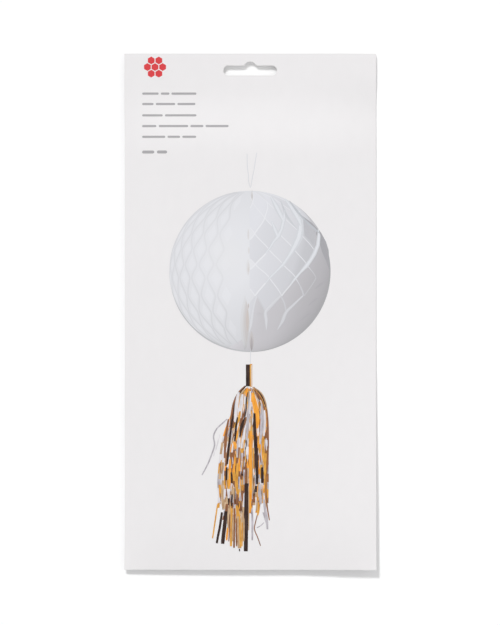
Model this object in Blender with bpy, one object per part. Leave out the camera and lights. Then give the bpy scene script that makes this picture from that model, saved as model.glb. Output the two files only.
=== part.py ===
"""Flat card retail pack of a folded paper decoration, lying on its back.

One printed card blank makes the whole wallet. It has a front panel, a back panel hinged at
the left fold, a glue flap inside the right fold, and a closing flap that is folded up over
the back at the foot. The two panels are glued flat at the head, where the hanging slot is
punched through both. The flat contents fill the rest and can't be seen, so the sealed pack
is one solid. Metres, +X right and +Y up on the printed front, +Z out of it.
"""
import math

import bmesh
import bpy

# Card
PLY = 0.0004
PLY_GAP = 0.0002
FOLD_RADIUS = 0.00034
GLUE_LINE_DEPTH = 0.00025

# Wallet outline
PACK_WIDTH = 0.165
PACK_HEIGHT = 0.338
SIDE_BOW = 0.0005

# Fill: how far each panel stands out, and how far from an edge it gets there
FRONT_FILL = 0.0020
BACK_FILL = 0.0022
BACK_PILLOW = 0.0029
SIDE_RISE = 0.034
HEADER_HEIGHT = 0.025
HEADER_RISE = 0.040
FOOT_RISE = 0.034

# Warp of the lying pack: its head drops a little, its foot bows up, and its right fold sags
# at mid-height and is lifted at the foot. The lengths say where each of them starts.
HEAD_DROP = 0.0005
FOOT_LIFT = 0.0003
FOOT_BOW = 0.0009
WARP_WIDTH = 0.060
LOW_CORNER_LIFT = 0.0023
LOW_LIFT_HEIGHT = 0.165
HEAD_SAG = 0.0004
SIDE_SAG = 0.0018
SAG_TOP = 0.012
SAG_RUN = 0.032

# Back panel's free edge, over the glue flap inside the right fold
LAP_INSET = 0.0010
GLUE_FLAP_WIDTH = 0.012

# Closing flap, folded up over the back at the foot
FLAP_DEPTH = 0.028
FLAP_END_INSET = 0.002
FLAP_TAPER = 0.010
FLAP_CORNER_RADIUS = 0.003
REST_EASE = 0.025

# Hanging slot: a round dome over two arms with round ends
SLOT_LENGTH = 0.035
SLOT_ARM_HEIGHT = 0.0064
SLOT_DOME_DIAMETER = 0.009
SLOT_FOOT_RADIUS = 0.001
SLOT_DROP = 0.0143

# Facets of the mesh, and the small overlaps that its joins need
COLUMNS = 30
ROWS = 54
ARC_STEPS = 8
FOLD_SEGMENTS = 3
STEP_RUN = 0.00005
FLAP_SINK = 0.0004
CUT_REACH = 0.02
WELD = 0.000005

RIM = 2 * PLY + PLY_GAP
FOLD_HEIGHT = BACK_FILL + RIM / 2
HALF_WIDTH = PACK_WIDTH / 2
HALF_HEIGHT = PACK_HEIGHT / 2
BEND = min(FOLD_RADIUS, 0.85 * PLY)


def open_ramp(t):
    """Leave a fold at an angle and level out at the filled middle."""
    return 1.0 - (1.0 - min(max(t, 0.0), 1.0)) ** 2


def glued_ramp(t):
    """Leave a glued strip level, and level out again."""
    t = min(max(t, 0.0), 1.0)
    return t * t * (3.0 - 2.0 * t)


def swell(x, y):
    """Share of the full fill at a point of the panel: 0 at its edges, 1 in the middle."""
    side = open_ramp((HALF_WIDTH - abs(x)) / SIDE_RISE)
    head = glued_ramp((HALF_HEIGHT - HEADER_HEIGHT - y) / HEADER_RISE)
    foot = open_ramp((y + HALF_HEIGHT) / FOOT_RISE)
    return side * head * foot


def foot_bow(x, y):
    """The contents stand on the foot fold and push it up, most in the middle."""
    near_foot = 1.0 - open_ramp((y + HALF_HEIGHT) / FOOT_RISE)
    return near_foot * (FOOT_LIFT + FOOT_BOW * (1.0 - (x / HALF_WIDTH) ** 2))


def head_drop(y):
    """The glued head holds no fill, so it hangs a little lower than the side folds."""
    under_header = HALF_HEIGHT - HEADER_HEIGHT - y
    return HEAD_DROP * (1.0 - glued_ramp(under_header / HEADER_RISE))


def right_warp(x, y):
    """The right fold sags between the glued head and the lifted lower corner."""
    right = glued_ramp((x - HALF_WIDTH + WARP_WIDTH) / WARP_WIDTH)
    low = glued_ramp((LOW_LIFT_HEIGHT - HALF_HEIGHT - y) / LOW_LIFT_HEIGHT)
    below_head = glued_ramp((HALF_HEIGHT - SAG_TOP - y) / SAG_RUN)
    sag = HEAD_SAG + (SIDE_SAG - HEAD_SAG) * below_head
    return right * (LOW_CORNER_LIFT * low - sag * (1.0 - low))


def fold_level(x, y):
    """Height of the wallet's folds above the table, never under it."""
    level = FOLD_HEIGHT - head_drop(y) + foot_bow(x, y) + right_warp(x, y)
    return max(level, rest_level(y) + RIM / 2)


def lap_step(x):
    """The back panel stands one ply proud where the glue flap lies under its free edge."""
    inside = HALF_WIDTH - LAP_INSET - x
    if inside < STEP_RUN / 2:
        return 0.0
    return PLY * glued_ramp(1.0 - inside / GLUE_FLAP_WIDTH)


def rest_level(y):
    """The back lies flat on the table, and the closing flap lifts its foot by one ply."""
    above_flap = y + HALF_HEIGHT - FLAP_DEPTH
    return PLY * (1.0 - glued_ramp(above_flap / REST_EASE))


def front_surface(x, y):
    return fold_level(x, y) + RIM / 2 + FRONT_FILL * swell(x, y)


def back_surface(x, y):
    hanging = fold_level(x, y) - RIM / 2 - BACK_PILLOW * swell(x, y) - lap_step(x)
    return max(hanging, rest_level(y))


def flap_inside(x, y):
    return back_surface(x, y) + FLAP_SINK


def flap_outside(x, y):
    return back_surface(x, y) - PLY


def bowed(x, y):
    """The fill pulls the left fold in a little at mid-height. The right one is glued flat."""
    return x + SIDE_BOW * max(-x, 0.0) / HALF_WIDTH * swell(0.0, y)


def evenly(start, end, count):
    return [start + (end - start) * step / count for step in range(1, count)]


def lattice_columns():
    """Even columns, and two close ones for the step at the back panel's free edge."""
    lap = HALF_WIDTH - LAP_INSET
    return evenly(-HALF_WIDTH, HALF_WIDTH, COLUMNS) + [lap - STEP_RUN, lap]


def lattice_rows():
    return evenly(-HALF_HEIGHT, HALF_HEIGHT, ROWS)


def cut_across(mesh, point, normal):
    everything = mesh.verts[:] + mesh.edges[:] + mesh.faces[:]
    bmesh.ops.bisect_plane(mesh, geom=everything, plane_co=point, plane_no=normal)


def lattice_box(name, top_y, rows, levels):
    """A box primitive from the foot up to top_y, cut along the lattice and at the levels."""
    bpy.ops.mesh.primitive_cube_add(size=1.0)
    box = bpy.context.active_object
    box.name = name
    mesh = bmesh.new()
    mesh.from_mesh(box.data)
    for vertex in mesh.verts:
        vertex.co.x *= PACK_WIDTH
        vertex.co.y = top_y if vertex.co.y > 0.0 else -HALF_HEIGHT
    for x in lattice_columns():
        cut_across(mesh, (x, 0.0, 0.0), (1.0, 0.0, 0.0))
    for y in rows:
        cut_across(mesh, (0.0, y, 0.0), (0.0, 1.0, 0.0))
    for z in levels:
        cut_across(mesh, (0.0, 0.0, z), (0.0, 0.0, 1.0))
    return box, mesh


def finish_mesh(piece, mesh):
    mesh.to_mesh(piece.data)
    mesh.free()
    return piece


def make_wallet():
    """Both panels and the fill between them, with a fine glue line along the raw head."""
    lip = 0.25
    wallet, mesh = lattice_box("card_wallet", HALF_HEIGHT, lattice_rows(), (-lip, 0.0, lip))
    for vertex in mesh.verts:
        x, y, z = vertex.co
        if z > lip * 1.5:
            vertex.co.z = front_surface(x, y)
        elif z < -lip * 1.5:
            vertex.co.z = back_surface(x, y)
        else:
            vertex.co.z = fold_level(x, y) + z / lip * PLY_GAP / 2
        if abs(z) < lip / 2 and y > HALF_HEIGHT - PLY:
            vertex.co.y = y - GLUE_LINE_DEPTH
        vertex.co.x = bowed(x, y)
    mesh.normal_update()
    folds = [edge for edge in mesh.edges if runs_along_fold(edge)]
    bmesh.ops.bevel(
        mesh, geom=folds, offset=BEND, offset_type="OFFSET", segments=FOLD_SEGMENTS,
        profile=0.5, affect="EDGES", clamp_overlap=True,
    )
    return finish_mesh(wallet, mesh)


def runs_along_fold(edge):
    """True where a panel meets the left, right or bottom wall."""
    walls = [face for face in edge.link_faces if abs(face.normal.z) < 0.5]
    return len(walls) == 1 and walls[0].normal.y < 0.5 and not is_lap_edge(edge)


def is_lap_edge(edge):
    lap = HALF_WIDTH - LAP_INSET
    return all(lap - 2 * STEP_RUN < end.co.x < lap + WELD for end in edge.verts)


def make_closing_flap(cutters):
    """One ply that follows the back, cut to the flap's outline."""
    free_y = -HALF_HEIGHT + FLAP_DEPTH
    below = [y for y in lattice_rows() if y <= free_y]
    above = [y for y in lattice_rows() if y > free_y]
    flap, mesh = lattice_box("closing_flap_ply", above[0], below, ())
    for vertex in mesh.verts:
        x, y, z = vertex.co
        vertex.co.z = flap_inside(x, y) if z > 0.0 else flap_outside(x, y)
        vertex.co.x = bowed(x, y)
    finish_mesh(flap, mesh)
    trim = prism_from_outline("closing_flap_trim", flap_outline())
    add_boolean(flap, "INTERSECT", trim)
    make_cutter(cutters, trim)
    make_cutter(cutters, flap)
    return flap


def arc(centre_x, centre_y, radius, start_degrees, end_degrees):
    """Points of an arc, both ends included."""
    points = []
    for step in range(ARC_STEPS + 1):
        angle = math.radians(start_degrees + (end_degrees - start_degrees) * step / ARC_STEPS)
        points.append((centre_x + radius * math.cos(angle), centre_y + radius * math.sin(angle)))
    return points


def slot_outline():
    """Anticlockwise outline of the slot: two round-ended arms and a dome with soft feet."""
    bottom = HALF_HEIGHT - SLOT_DROP
    end_radius = SLOT_ARM_HEIGHT / 2
    end_x = SLOT_LENGTH / 2 - end_radius
    dome_radius = SLOT_DOME_DIAMETER / 2
    dome_y = bottom + dome_radius
    foot_y = bottom + SLOT_ARM_HEIGHT + SLOT_FOOT_RADIUS
    foot_x = math.sqrt((dome_radius + SLOT_FOOT_RADIUS) ** 2 - (foot_y - dome_y) ** 2)
    turn = math.degrees(math.atan2(foot_y - dome_y, foot_x))
    outline = arc(end_x, bottom + end_radius, end_radius, -90, 90)
    outline += arc(foot_x, foot_y, SLOT_FOOT_RADIUS, 270, 180 + turn)
    outline += arc(0.0, dome_y, dome_radius, turn, 180 - turn)[1:-1]
    outline += arc(-foot_x, foot_y, SLOT_FOOT_RADIUS, -turn, -90)
    outline += arc(-end_x, bottom + end_radius, end_radius, 90, 270)
    return outline


def flap_outline():
    """Anticlockwise outline of the closing flap, with tapered ends and rounded corners."""
    fold_x = HALF_WIDTH - FLAP_END_INSET
    fold_y = -HALF_HEIGHT + BEND + 2 * STEP_RUN
    free_y = -HALF_HEIGHT + FLAP_DEPTH
    depth = free_y - fold_y
    slant = math.hypot(depth, FLAP_TAPER)
    corner_x = fold_x - FLAP_TAPER - FLAP_CORNER_RADIUS * (slant - FLAP_TAPER) / depth
    corner_y = free_y - FLAP_CORNER_RADIUS
    side = math.degrees(math.atan2(FLAP_TAPER, depth))
    outline = [(-fold_x, fold_y), (fold_x, fold_y)]
    outline += arc(corner_x, corner_y, FLAP_CORNER_RADIUS, side, 90)
    outline += arc(-corner_x, corner_y, FLAP_CORNER_RADIUS, 90, 180 - side)
    return outline


def prism_from_outline(name, outline):
    """A tall cutter: a filled 2D curve, extruded, made a mesh and welded."""
    curve = bpy.data.curves.new(name + "_outline", "CURVE")
    curve.dimensions = "2D"
    curve.fill_mode = "BOTH"
    curve.extrude = CUT_REACH
    spline = curve.splines.new("POLY")
    spline.points.add(len(outline) - 1)
    for point, (x, y) in zip(spline.points, outline):
        point.co = (x, y, 0.0, 1.0)
    spline.use_cyclic_u = True
    drawn = bpy.data.objects.new(name + "_outline", curve)
    bpy.context.scene.collection.objects.link(drawn)
    shown = drawn.evaluated_get(bpy.context.evaluated_depsgraph_get())
    prism = bpy.data.objects.new(name, bpy.data.meshes.new_from_object(shown))
    prism.matrix_world = drawn.matrix_world
    bpy.data.objects.remove(drawn)
    mesh = bmesh.new()
    mesh.from_mesh(prism.data)
    bmesh.ops.remove_doubles(mesh, verts=mesh.verts, dist=WELD)
    bmesh.ops.recalc_face_normals(mesh, faces=mesh.faces)
    return finish_mesh(prism, mesh)


def add_boolean(piece, operation, other):
    modifier = piece.modifiers.new(operation.lower() + "_" + other.name, "BOOLEAN")
    modifier.operation = operation
    modifier.solver = "EXACT"
    modifier.object = other


def move_to(collection, piece):
    for old in list(piece.users_collection):
        old.objects.unlink(piece)
    collection.objects.link(piece)


def make_cutter(cutters, piece):
    move_to(cutters, piece)
    piece.hide_render = True
    piece.display_type = "WIRE"


def coated_board():
    """White folding boxboard with a thin, slightly shiny coating."""
    material = bpy.data.materials.new("coated_white_board")
    material.use_nodes = True
    shader = material.node_tree.nodes["Principled BSDF"]
    shader.inputs["Base Color"].default_value = (0.84, 0.83, 0.835, 1.0)
    shader.inputs["Roughness"].default_value = 0.45
    shader.inputs["Metallic"].default_value = 0.0
    return material


def new_collection(name):
    collection = bpy.data.collections.new(name)
    bpy.context.scene.collection.children.link(collection)
    return collection


def build():
    for old in list(bpy.data.objects):
        bpy.data.objects.remove(old)
    pack = new_collection("card_retail_pack")
    cutters = new_collection("cutters")
    wallet = make_wallet()
    move_to(pack, wallet)
    wallet.data.materials.append(coated_board())
    slot = prism_from_outline("slot_punch", slot_outline())
    add_boolean(wallet, "UNION", make_closing_flap(cutters))
    add_boolean(wallet, "DIFFERENCE", slot)
    make_cutter(cutters, slot)
    wallet.data.shade_smooth()
    wallet.data.set_sharp_from_angle(angle=math.radians(30))


build()
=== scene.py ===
# %% [markdown]
# # A flat card retail pack, lying on a white table
#
# The object is a sealed wallet of thin white card, 165 by 338 mm and about 5 mm thick. One
# cut and printed blank makes all of it: a front, a back, a glue flap inside the right fold
# and a closing flap that is folded up over the back at the foot. Front and back are glued
# flat at the head, where a hanging slot is punched through both. The contents can't be seen.
#
# This lesson loads the measured model as a fixed frame, then makes the same card again with
# finer folds and real cut edges, lays the print on it, and lights it from above.

# %% Load the measured model
import math
import random

import bmesh
import bpy
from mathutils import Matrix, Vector


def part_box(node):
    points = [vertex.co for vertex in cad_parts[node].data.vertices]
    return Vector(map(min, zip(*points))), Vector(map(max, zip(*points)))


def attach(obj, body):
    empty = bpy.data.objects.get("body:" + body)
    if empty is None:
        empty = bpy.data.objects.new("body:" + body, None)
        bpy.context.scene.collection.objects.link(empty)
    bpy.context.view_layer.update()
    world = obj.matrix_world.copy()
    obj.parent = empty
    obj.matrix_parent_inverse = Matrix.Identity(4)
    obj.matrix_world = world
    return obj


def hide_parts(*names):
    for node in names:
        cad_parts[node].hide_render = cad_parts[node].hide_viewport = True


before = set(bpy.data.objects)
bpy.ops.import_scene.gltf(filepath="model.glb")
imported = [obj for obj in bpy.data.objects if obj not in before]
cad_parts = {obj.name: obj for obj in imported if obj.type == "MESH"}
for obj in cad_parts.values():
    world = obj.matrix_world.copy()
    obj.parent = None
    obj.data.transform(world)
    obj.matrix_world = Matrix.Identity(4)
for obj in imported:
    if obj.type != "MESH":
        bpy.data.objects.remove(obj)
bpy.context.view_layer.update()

card_low, card_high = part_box("card_wallet")
print("nodes:", sorted(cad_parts))
print("measured box:", [round(value * 1000, 2) for value in (*card_low, *card_high)], "mm")

# %% [markdown]
# ## The camera
#
# The photograph looks straight down, and no side of the pack shows. So the camera hangs
# over the table and looks along -Z. Its lens is worked out from the size of one pixel of
# the photograph on the pack: the front panel is 252 pixels wide, and it is 165 mm wide.
# A camera that is 1.5 m away keeps the panel's edges straight, as in the photograph. It is
# shifted by less than one pixel, so that the pack's outline falls on the photograph's.

# %% Camera
PIXEL = 0.0006548
PICTURE_ROWS = 625
CAMERA_DISTANCE = 1.5
CAMERA_SHIFT = (-0.1, -0.9)
EDGE_LEVEL = 0.0030
SENSOR = 24.0

camera_data = bpy.data.cameras.new("camera")
camera_data.sensor_fit = "VERTICAL"
camera_data.sensor_height = SENSOR
camera_data.lens = SENSOR * CAMERA_DISTANCE / (PICTURE_ROWS * PIXEL)
camera_data.dof.use_dof = False
camera = bpy.data.objects.new("camera", camera_data)
shift_x, shift_y = (pixels * PIXEL for pixels in CAMERA_SHIFT)
camera.location = (shift_x, shift_y, EDGE_LEVEL + CAMERA_DISTANCE)
bpy.context.scene.collection.objects.link(camera)
bpy.context.scene.camera = camera
print("lens", round(camera_data.lens, 2), "mm")


# %% [markdown]
# ## The table and the light
#
# The photograph's table is plain white, and only the pack's short shadow shows on it. A
# shadow that reaches down and slightly to the right comes from a lamp above the head of
# the pack, about 42 degrees over the table. A sun lamp gives that one direction, and its
# angle sets how soft the shadow's edge is. A large dim panel on the right lifts that side
# of the card, which the photograph shows a shade brighter. The world adds light from all
# around, a little more from the right. Together they light white card so that a colour
# renders about as it is written.

# %% Light
SHADOW_RUN = Vector((0.46, -1.0, -1.0))
SUN_STRENGTH = 2.17
SUN_SOFTNESS = math.radians(11)
WORLD_STRENGTH = 0.47
WORLD_LEAN = 0.35
PANEL_PLACE = Vector((0.60, 0.0, 0.50))
PANEL_POWER = 0.5
PANEL_SIZE = 0.5

sun_data = bpy.data.lights.new("window_light", "SUN")
sun_data.energy = SUN_STRENGTH
sun_data.angle = SUN_SOFTNESS
sun = bpy.data.objects.new("window_light", sun_data)
sun.rotation_euler = SHADOW_RUN.to_track_quat("-Z", "Y").to_euler()
bpy.context.scene.collection.objects.link(sun)
panel_data = bpy.data.lights.new("right_panel", "AREA")
panel_data.energy = PANEL_POWER
panel_data.size = PANEL_SIZE
panel = bpy.data.objects.new("right_panel", panel_data)
panel.location = PANEL_PLACE
panel.rotation_euler = (-PANEL_PLACE).to_track_quat("-Z", "Y").to_euler()
bpy.context.scene.collection.objects.link(panel)
bpy.context.scene.view_settings.view_transform = "Standard"
print("lamp height", round(math.degrees(math.asin(1 / SHADOW_RUN.length)), 1), "degrees")


# %% [markdown]
# Nodes are placed by a small helper. It makes a node, sets its options and its unlinked
# inputs, and returns it, so that a material reads from top to bottom like a recipe.

# %% Node helper
def add_node(tree, kind, inputs=None, **options):
    node = tree.nodes.new("ShaderNode" + kind)
    for name, value in options.items():
        setattr(node, name, value)
    for name, value in (inputs or {}).items():
        node.inputs[name].default_value = value
    return node


def seen_directly(tree):
    """1 for a ray from the camera, and for one that a mirror or a glass sends on."""
    path = add_node(tree, "LightPath")
    first = add_node(tree, "Math", operation="MAXIMUM")
    second = add_node(tree, "Math", operation="MAXIMUM")
    tree.links.new(path.outputs["Is Camera Ray"], first.inputs[0])
    tree.links.new(path.outputs["Is Glossy Ray"], first.inputs[1])
    tree.links.new(first.outputs[0], second.inputs[0])
    tree.links.new(path.outputs["Is Transmission Ray"], second.inputs[1])
    return second.outputs[0]


# %% World
world = bpy.data.worlds.new("studio")
world.use_nodes = True
bpy.context.scene.world = world
tree = world.node_tree
tree.nodes.clear()
coords = add_node(tree, "TexCoord")
part = add_node(tree, "SeparateXYZ")
lean = add_node(tree, "MapRange", {
    "From Min": -1.0, "From Max": 1.0,
    "To Min": WORLD_STRENGTH * (1 - WORLD_LEAN), "To Max": WORLD_STRENGTH * (1 + WORLD_LEAN),
})
around = add_node(tree, "Background", {"Color": (1, 1, 1, 1)})
tree.links.new(coords.outputs["Generated"], part.inputs[0])
tree.links.new(part.outputs["X"], lean.inputs["Value"])
tree.links.new(lean.outputs["Result"], around.inputs["Strength"])
behind = add_node(tree, "Background", {"Color": (1, 1, 1, 1), "Strength": 1.0})
choose = add_node(tree, "MixShader")
out = add_node(tree, "OutputWorld")
tree.links.new(seen_directly(tree), choose.inputs[0])
tree.links.new(around.outputs[0], choose.inputs[1])
tree.links.new(behind.outputs[0], choose.inputs[2])
tree.links.new(choose.outputs[0], out.inputs["Surface"])
print("world strength", WORLD_STRENGTH)

# %% [markdown]
# The table is one large square. Its paint is pale, and a little light of its own, seen by
# the camera only, brings the open table to full white. In the pack's shadow that share
# alone is not enough, so the shadow stays grey.

# %% Table
TABLE_PAINT = (0.88, 0.88, 0.885)
TABLE_LIFT = 0.172
TABLE_REACH = 3

corners = [(-1, -1), (1, -1), (1, 1), (-1, 1)]
table_mesh = bpy.data.meshes.new("table")
table_mesh.from_pydata([(x * TABLE_REACH, y * TABLE_REACH, 0) for x, y in corners], [], [(0, 1, 2, 3)])
table = bpy.data.objects.new("table", table_mesh)
bpy.context.scene.collection.objects.link(table)
paint = bpy.data.materials.new("white_table")
paint.use_nodes = True
tree = paint.node_tree
shader = tree.nodes["Principled BSDF"]
shader.inputs["Base Color"].default_value = (*TABLE_PAINT, 1)
shader.inputs["Roughness"].default_value = 0.9
shader.inputs["Specular IOR Level"].default_value = 0.1
shader.inputs["Emission Color"].default_value = (1, 1, 1, 1)
lift = add_node(tree, "Math", operation="MULTIPLY")
lift.inputs[1].default_value = TABLE_LIFT
tree.links.new(seen_directly(tree), lift.inputs[0])
tree.links.new(lift.outputs[0], shader.inputs["Emission Strength"])
table.data.materials.append(paint)
print("table at z", table.location.z)


# %% [markdown]
# ## The shape of the filled wallet
#
# Thin card bends one way easily, and hardly at all in two ways at once. So a filled wallet
# is lowest at its folds and swells towards the middle. This pack is warped too: its right
# fold sags at mid-height, and its foot and its lower right corner lift off the table, as
# their longer shadows show. These are the sizes of the measured model, in metres. Two
# curves do all the work: one leaves a fold at an angle and levels out, the other leaves a
# glued strip level and levels out again.

# %% Sizes
WIDTH = 0.165
HEIGHT = 0.338
PLY = 0.0004
PLY_GAP = 0.0002
RIM = 2 * PLY + PLY_GAP
FOLD_ROUND = 0.00038
FRONT_FILL = 0.0020
BACK_FILL = 0.0022
BACK_PILLOW = 0.0029
SIDE_BOW = 0.0005
SIDE_RISE = 0.034
HEADER_HEIGHT = 0.025
HEADER_RISE = 0.040
FOOT_RISE = 0.034
HEAD_DROP = 0.0005
FOOT_LIFT = 0.0003
FOOT_BOW = 0.0009
WARP_WIDTH = 0.060
LOW_CORNER_LIFT = 0.0023
LOW_LIFT_HEIGHT = 0.165
HEAD_SAG = 0.0004
SIDE_SAG = 0.0018
SAG_TOP = 0.012
SAG_RUN = 0.032
LAP_INSET = 0.0010
GLUE_FLAP_WIDTH = 0.012
FLAP_DEPTH = 0.028
REST_EASE = 0.025
print("sheet thickness", PLY * 1000, "mm, folded edge", round(RIM * 1000, 2), "mm")


# %% Height of each panel
def from_fold(t):
    return 1.0 - (1.0 - min(max(t, 0.0), 1.0)) ** 2


def from_glue(t):
    t = min(max(t, 0.0), 1.0)
    return t * t * (3.0 - 2.0 * t)


def swell(x, y):
    side = from_fold((WIDTH / 2 - abs(x)) / SIDE_RISE)
    head = from_glue((HEIGHT / 2 - HEADER_HEIGHT - y) / HEADER_RISE)
    return side * head * from_fold((y + HEIGHT / 2) / FOOT_RISE)


def rest_level(y):
    return PLY * (1.0 - from_glue((y + HEIGHT / 2 - FLAP_DEPTH) / REST_EASE))


def fold_level(x, y):
    bowed_foot = 1.0 - from_fold((y + HEIGHT / 2) / FOOT_RISE)
    foot = bowed_foot * (FOOT_LIFT + FOOT_BOW * (1.0 - (2 * x / WIDTH) ** 2))
    right = from_glue((x - WIDTH / 2 + WARP_WIDTH) / WARP_WIDTH)
    low = from_glue((LOW_LIFT_HEIGHT - HEIGHT / 2 - y) / LOW_LIFT_HEIGHT)
    below_head = from_glue((HEIGHT / 2 - SAG_TOP - y) / SAG_RUN)
    sag = HEAD_SAG + (SIDE_SAG - HEAD_SAG) * below_head
    warp = right * (LOW_CORNER_LIFT * low - sag * (1.0 - low))
    head = HEAD_DROP * (1.0 - from_glue((HEIGHT / 2 - HEADER_HEIGHT - y) / HEADER_RISE))
    return max(BACK_FILL + RIM / 2 - head + foot + warp, rest_level(y) + RIM / 2)


def front_level(x, y):
    return fold_level(x, y) + RIM / 2 + FRONT_FILL * swell(x, y)


def back_level(x, y):
    lap_inside = WIDTH / 2 - LAP_INSET - x
    lap = PLY * from_glue(1.0 - lap_inside / GLUE_FLAP_WIDTH) if lap_inside > 0.00002 else 0.0
    hanging = fold_level(x, y) - RIM / 2 - BACK_PILLOW * swell(x, y) - lap
    return max(hanging, rest_level(y))


def pulled_in(x, y):
    """The fill pulls the left fold in. The right one is held by its glue flap."""
    return x + SIDE_BOW * max(-x, 0.0) / (WIDTH / 2) * swell(0.0, y)


print("front in the middle", round(front_level(0, 0) * 1000, 2), "mm over the table")

# %% [markdown]
# Real card is never quite even. A handled pack has a few long, very shallow waves across
# its panels, which the light shows as a change of a shade or two. They fade out at the
# folds and at the glued head. Two sine waves at odd angles do it, and the same function
# carries the print, so the print follows each wave.

# %% Handling waves
WAVE_HEIGHT = 0.00005


def wave(x, y):
    calm = swell(x, y)
    long_wave = math.sin(x * 61.0 + y * 23.0 + 0.7) * math.sin(y * 47.0 - x * 19.0 + 2.1)
    cross_wave = math.sin(y * 88.0 + x * 35.0)
    return WAVE_HEIGHT * calm * (0.7 * long_wave + 0.3 * cross_wave)


def panel_level(x, y):
    """The front panel's true height over a point of the table, for the print."""
    flat_x = x if x > 0.0 else x / (1.0 - SIDE_BOW / (WIDTH / 2) * swell(0.0, y))
    return front_level(flat_x, y) + wave(flat_x, y)


print("wave", round(WAVE_HEIGHT * 1000, 3), "mm")


# %% [markdown]
# ## The folded blank
#
# The wallet could be made with cloth or with subdivision, but a grid is surer: the heights
# are known at every point. Columns and rows are 2.5 mm apart, with closer ones beside the
# folds, where the card turns, and two very close ones at the free edge of the back panel.

# %% Columns and rows
GRID_STEP = 0.0025
NEAR_FOLD = [0.0, 0.0005, 0.0010, 0.0018, 0.0032, 0.0050]


def spread(start, end, step):
    count = max(1, round((end - start) / step))
    return [start + (end - start) * index / count for index in range(count + 1)]


lap_x = WIDTH / 2 - LAP_INSET
left_columns = [-WIDTH / 2 + inset for inset in NEAR_FOLD]
right_columns = [lap_x - 0.0026, lap_x - 0.0010, lap_x - 0.00005, lap_x]
right_columns += [WIDTH / 2 - 0.0005, WIDTH / 2]
middle_columns = spread(-WIDTH / 2 + 0.0050, WIDTH / 2 - 0.0060, GRID_STEP)
columns = left_columns[:-1] + middle_columns + right_columns
rows = [-HEIGHT / 2 + inset for inset in NEAR_FOLD[:-1]]
rows += spread(-HEIGHT / 2 + 0.0050, HEIGHT / 2 - 0.0020, GRID_STEP) + [HEIGHT / 2 - 0.0008]
rows += [HEIGHT / 2]
print(len(columns), "columns,", len(rows), "rows")

# %% [markdown]
# The skin is one closed surface. The front and back grids are joined by a narrow wall with
# four levels, so that the raw head shows what it is: the edge of one ply, the dark line of
# glue, and the edge of the other ply.

# %% Wallet skin
GLUE_LINE_DEPTH = 0.00025
card_points = []
card_index = {}


def card_point(column, row, level):
    """One point of the skin. Levels 0 to 3 go from the front down to the back."""
    key = (column, row, level)
    if key not in card_index:
        x, y = columns[column], rows[row]
        if level == 0:
            z = front_level(x, y) + wave(x, y)
        elif level == 3:
            z = back_level(x, y)
        else:
            z = fold_level(x, y) + (PLY_GAP / 2 if level == 1 else -PLY_GAP / 2)
        raw = level in (1, 2) and row == len(rows) - 1
        card_index[key] = len(card_points)
        card_points.append((pulled_in(x, y), y - (GLUE_LINE_DEPTH if raw else 0.0), z))
    return card_index[key]


last_column = len(columns) - 1
last_row = len(rows) - 1
card_faces = []
for row in range(last_row):
    for column in range(last_column):
        around = ((column, row), (column + 1, row), (column + 1, row + 1), (column, row + 1))
        card_faces.append([card_point(*place, 0) for place in around])
        card_faces.append([card_point(*place, 3) for place in reversed(around)])
print(len(card_faces), "faces on the two panels")

# %% Wall of folds and raw head
outline = [(column, 0) for column in range(last_column)]
outline += [(last_column, row) for row in range(last_row)]
outline += [(column, last_row) for column in range(last_column, 0, -1)]
outline += [(0, row) for row in range(last_row, 0, -1)]
head_faces = []
for place, following in zip(outline, outline[1:] + outline[:1]):
    for level in range(3):
        corners = [(*place, level + 1), (*following, level + 1)]
        corners += [(*following, level), (*place, level)]
        if place[1] == last_row and following[1] == last_row:
            head_faces.append(len(card_faces))
        card_faces.append([card_point(*corner) for corner in corners])

wallet_mesh = bpy.data.meshes.new("wallet_card")
wallet_mesh.from_pydata(card_points, [], card_faces)
wallet = bpy.data.objects.new("wallet_card", wallet_mesh)
bpy.context.scene.collection.objects.link(wallet)
print("wallet skin:", len(wallet_mesh.vertices), "points,", len(wallet_mesh.polygons), "faces")

# %% [markdown]
# Three sides are folds, and a fold in card is a small round and not a knife edge. A bevel
# of 0.38 mm on the front and back edges of those three sides leaves a round of about the
# radius that card takes when it is scored and folded. The head is cut, so it stays square.

# %% Round the three folds
def on_fold(edge):
    (x1, y1, _), (x2, y2, _) = (point.co for point in edge.verts)
    flat = WIDTH / 2 - 2 * SIDE_BOW
    along_side = abs(x1) > flat and abs(x2) > flat and x1 * x2 > 0
    along_foot = max(y1, y2) < -HEIGHT / 2 + 0.00001
    return (along_side and y1 != y2) or (along_foot and x1 != x2)


shape = bmesh.new()
shape.from_mesh(wallet_mesh)
shape.verts.ensure_lookup_table()
shape.faces.ensure_lookup_table()
for index in head_faces:
    shape.faces[index].material_index = 1
panel_faces = {face for face in shape.faces if face.index < 2 * last_row * last_column}
folds = [
    edge for edge in shape.edges
    if on_fold(edge) and sum(face in panel_faces for face in edge.link_faces) == 1
]
bmesh.ops.bevel(
    shape, geom=folds, offset=FOLD_ROUND, offset_type="OFFSET", segments=5,
    profile=0.5, affect="EDGES", clamp_overlap=True,
)
for face in shape.faces:
    centre = face.calc_center_median()
    steep = abs(face.normal.z) < 0.5 and face.normal.x > 0.5
    if steep and abs(centre.x - lap_x) < 0.0004 and centre.z < fold_level(lap_x, centre.y):
        face.material_index = 1
shape.to_mesh(wallet_mesh)
shape.free()
print(len(folds), "fold edges rounded")


# %% [markdown]
# ## The hanging slot
#
# The slot is punched after the blank is glued, so one wall goes through both plies. It has
# a round dome over two arms with round ends, the usual form for shop hooks. The outline is
# drawn with arcs, made into a tall cutter, and cut out. A second, very thin cutter that is
# 0.15 mm larger all round opens the line between the plies in the slot's wall.

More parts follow.
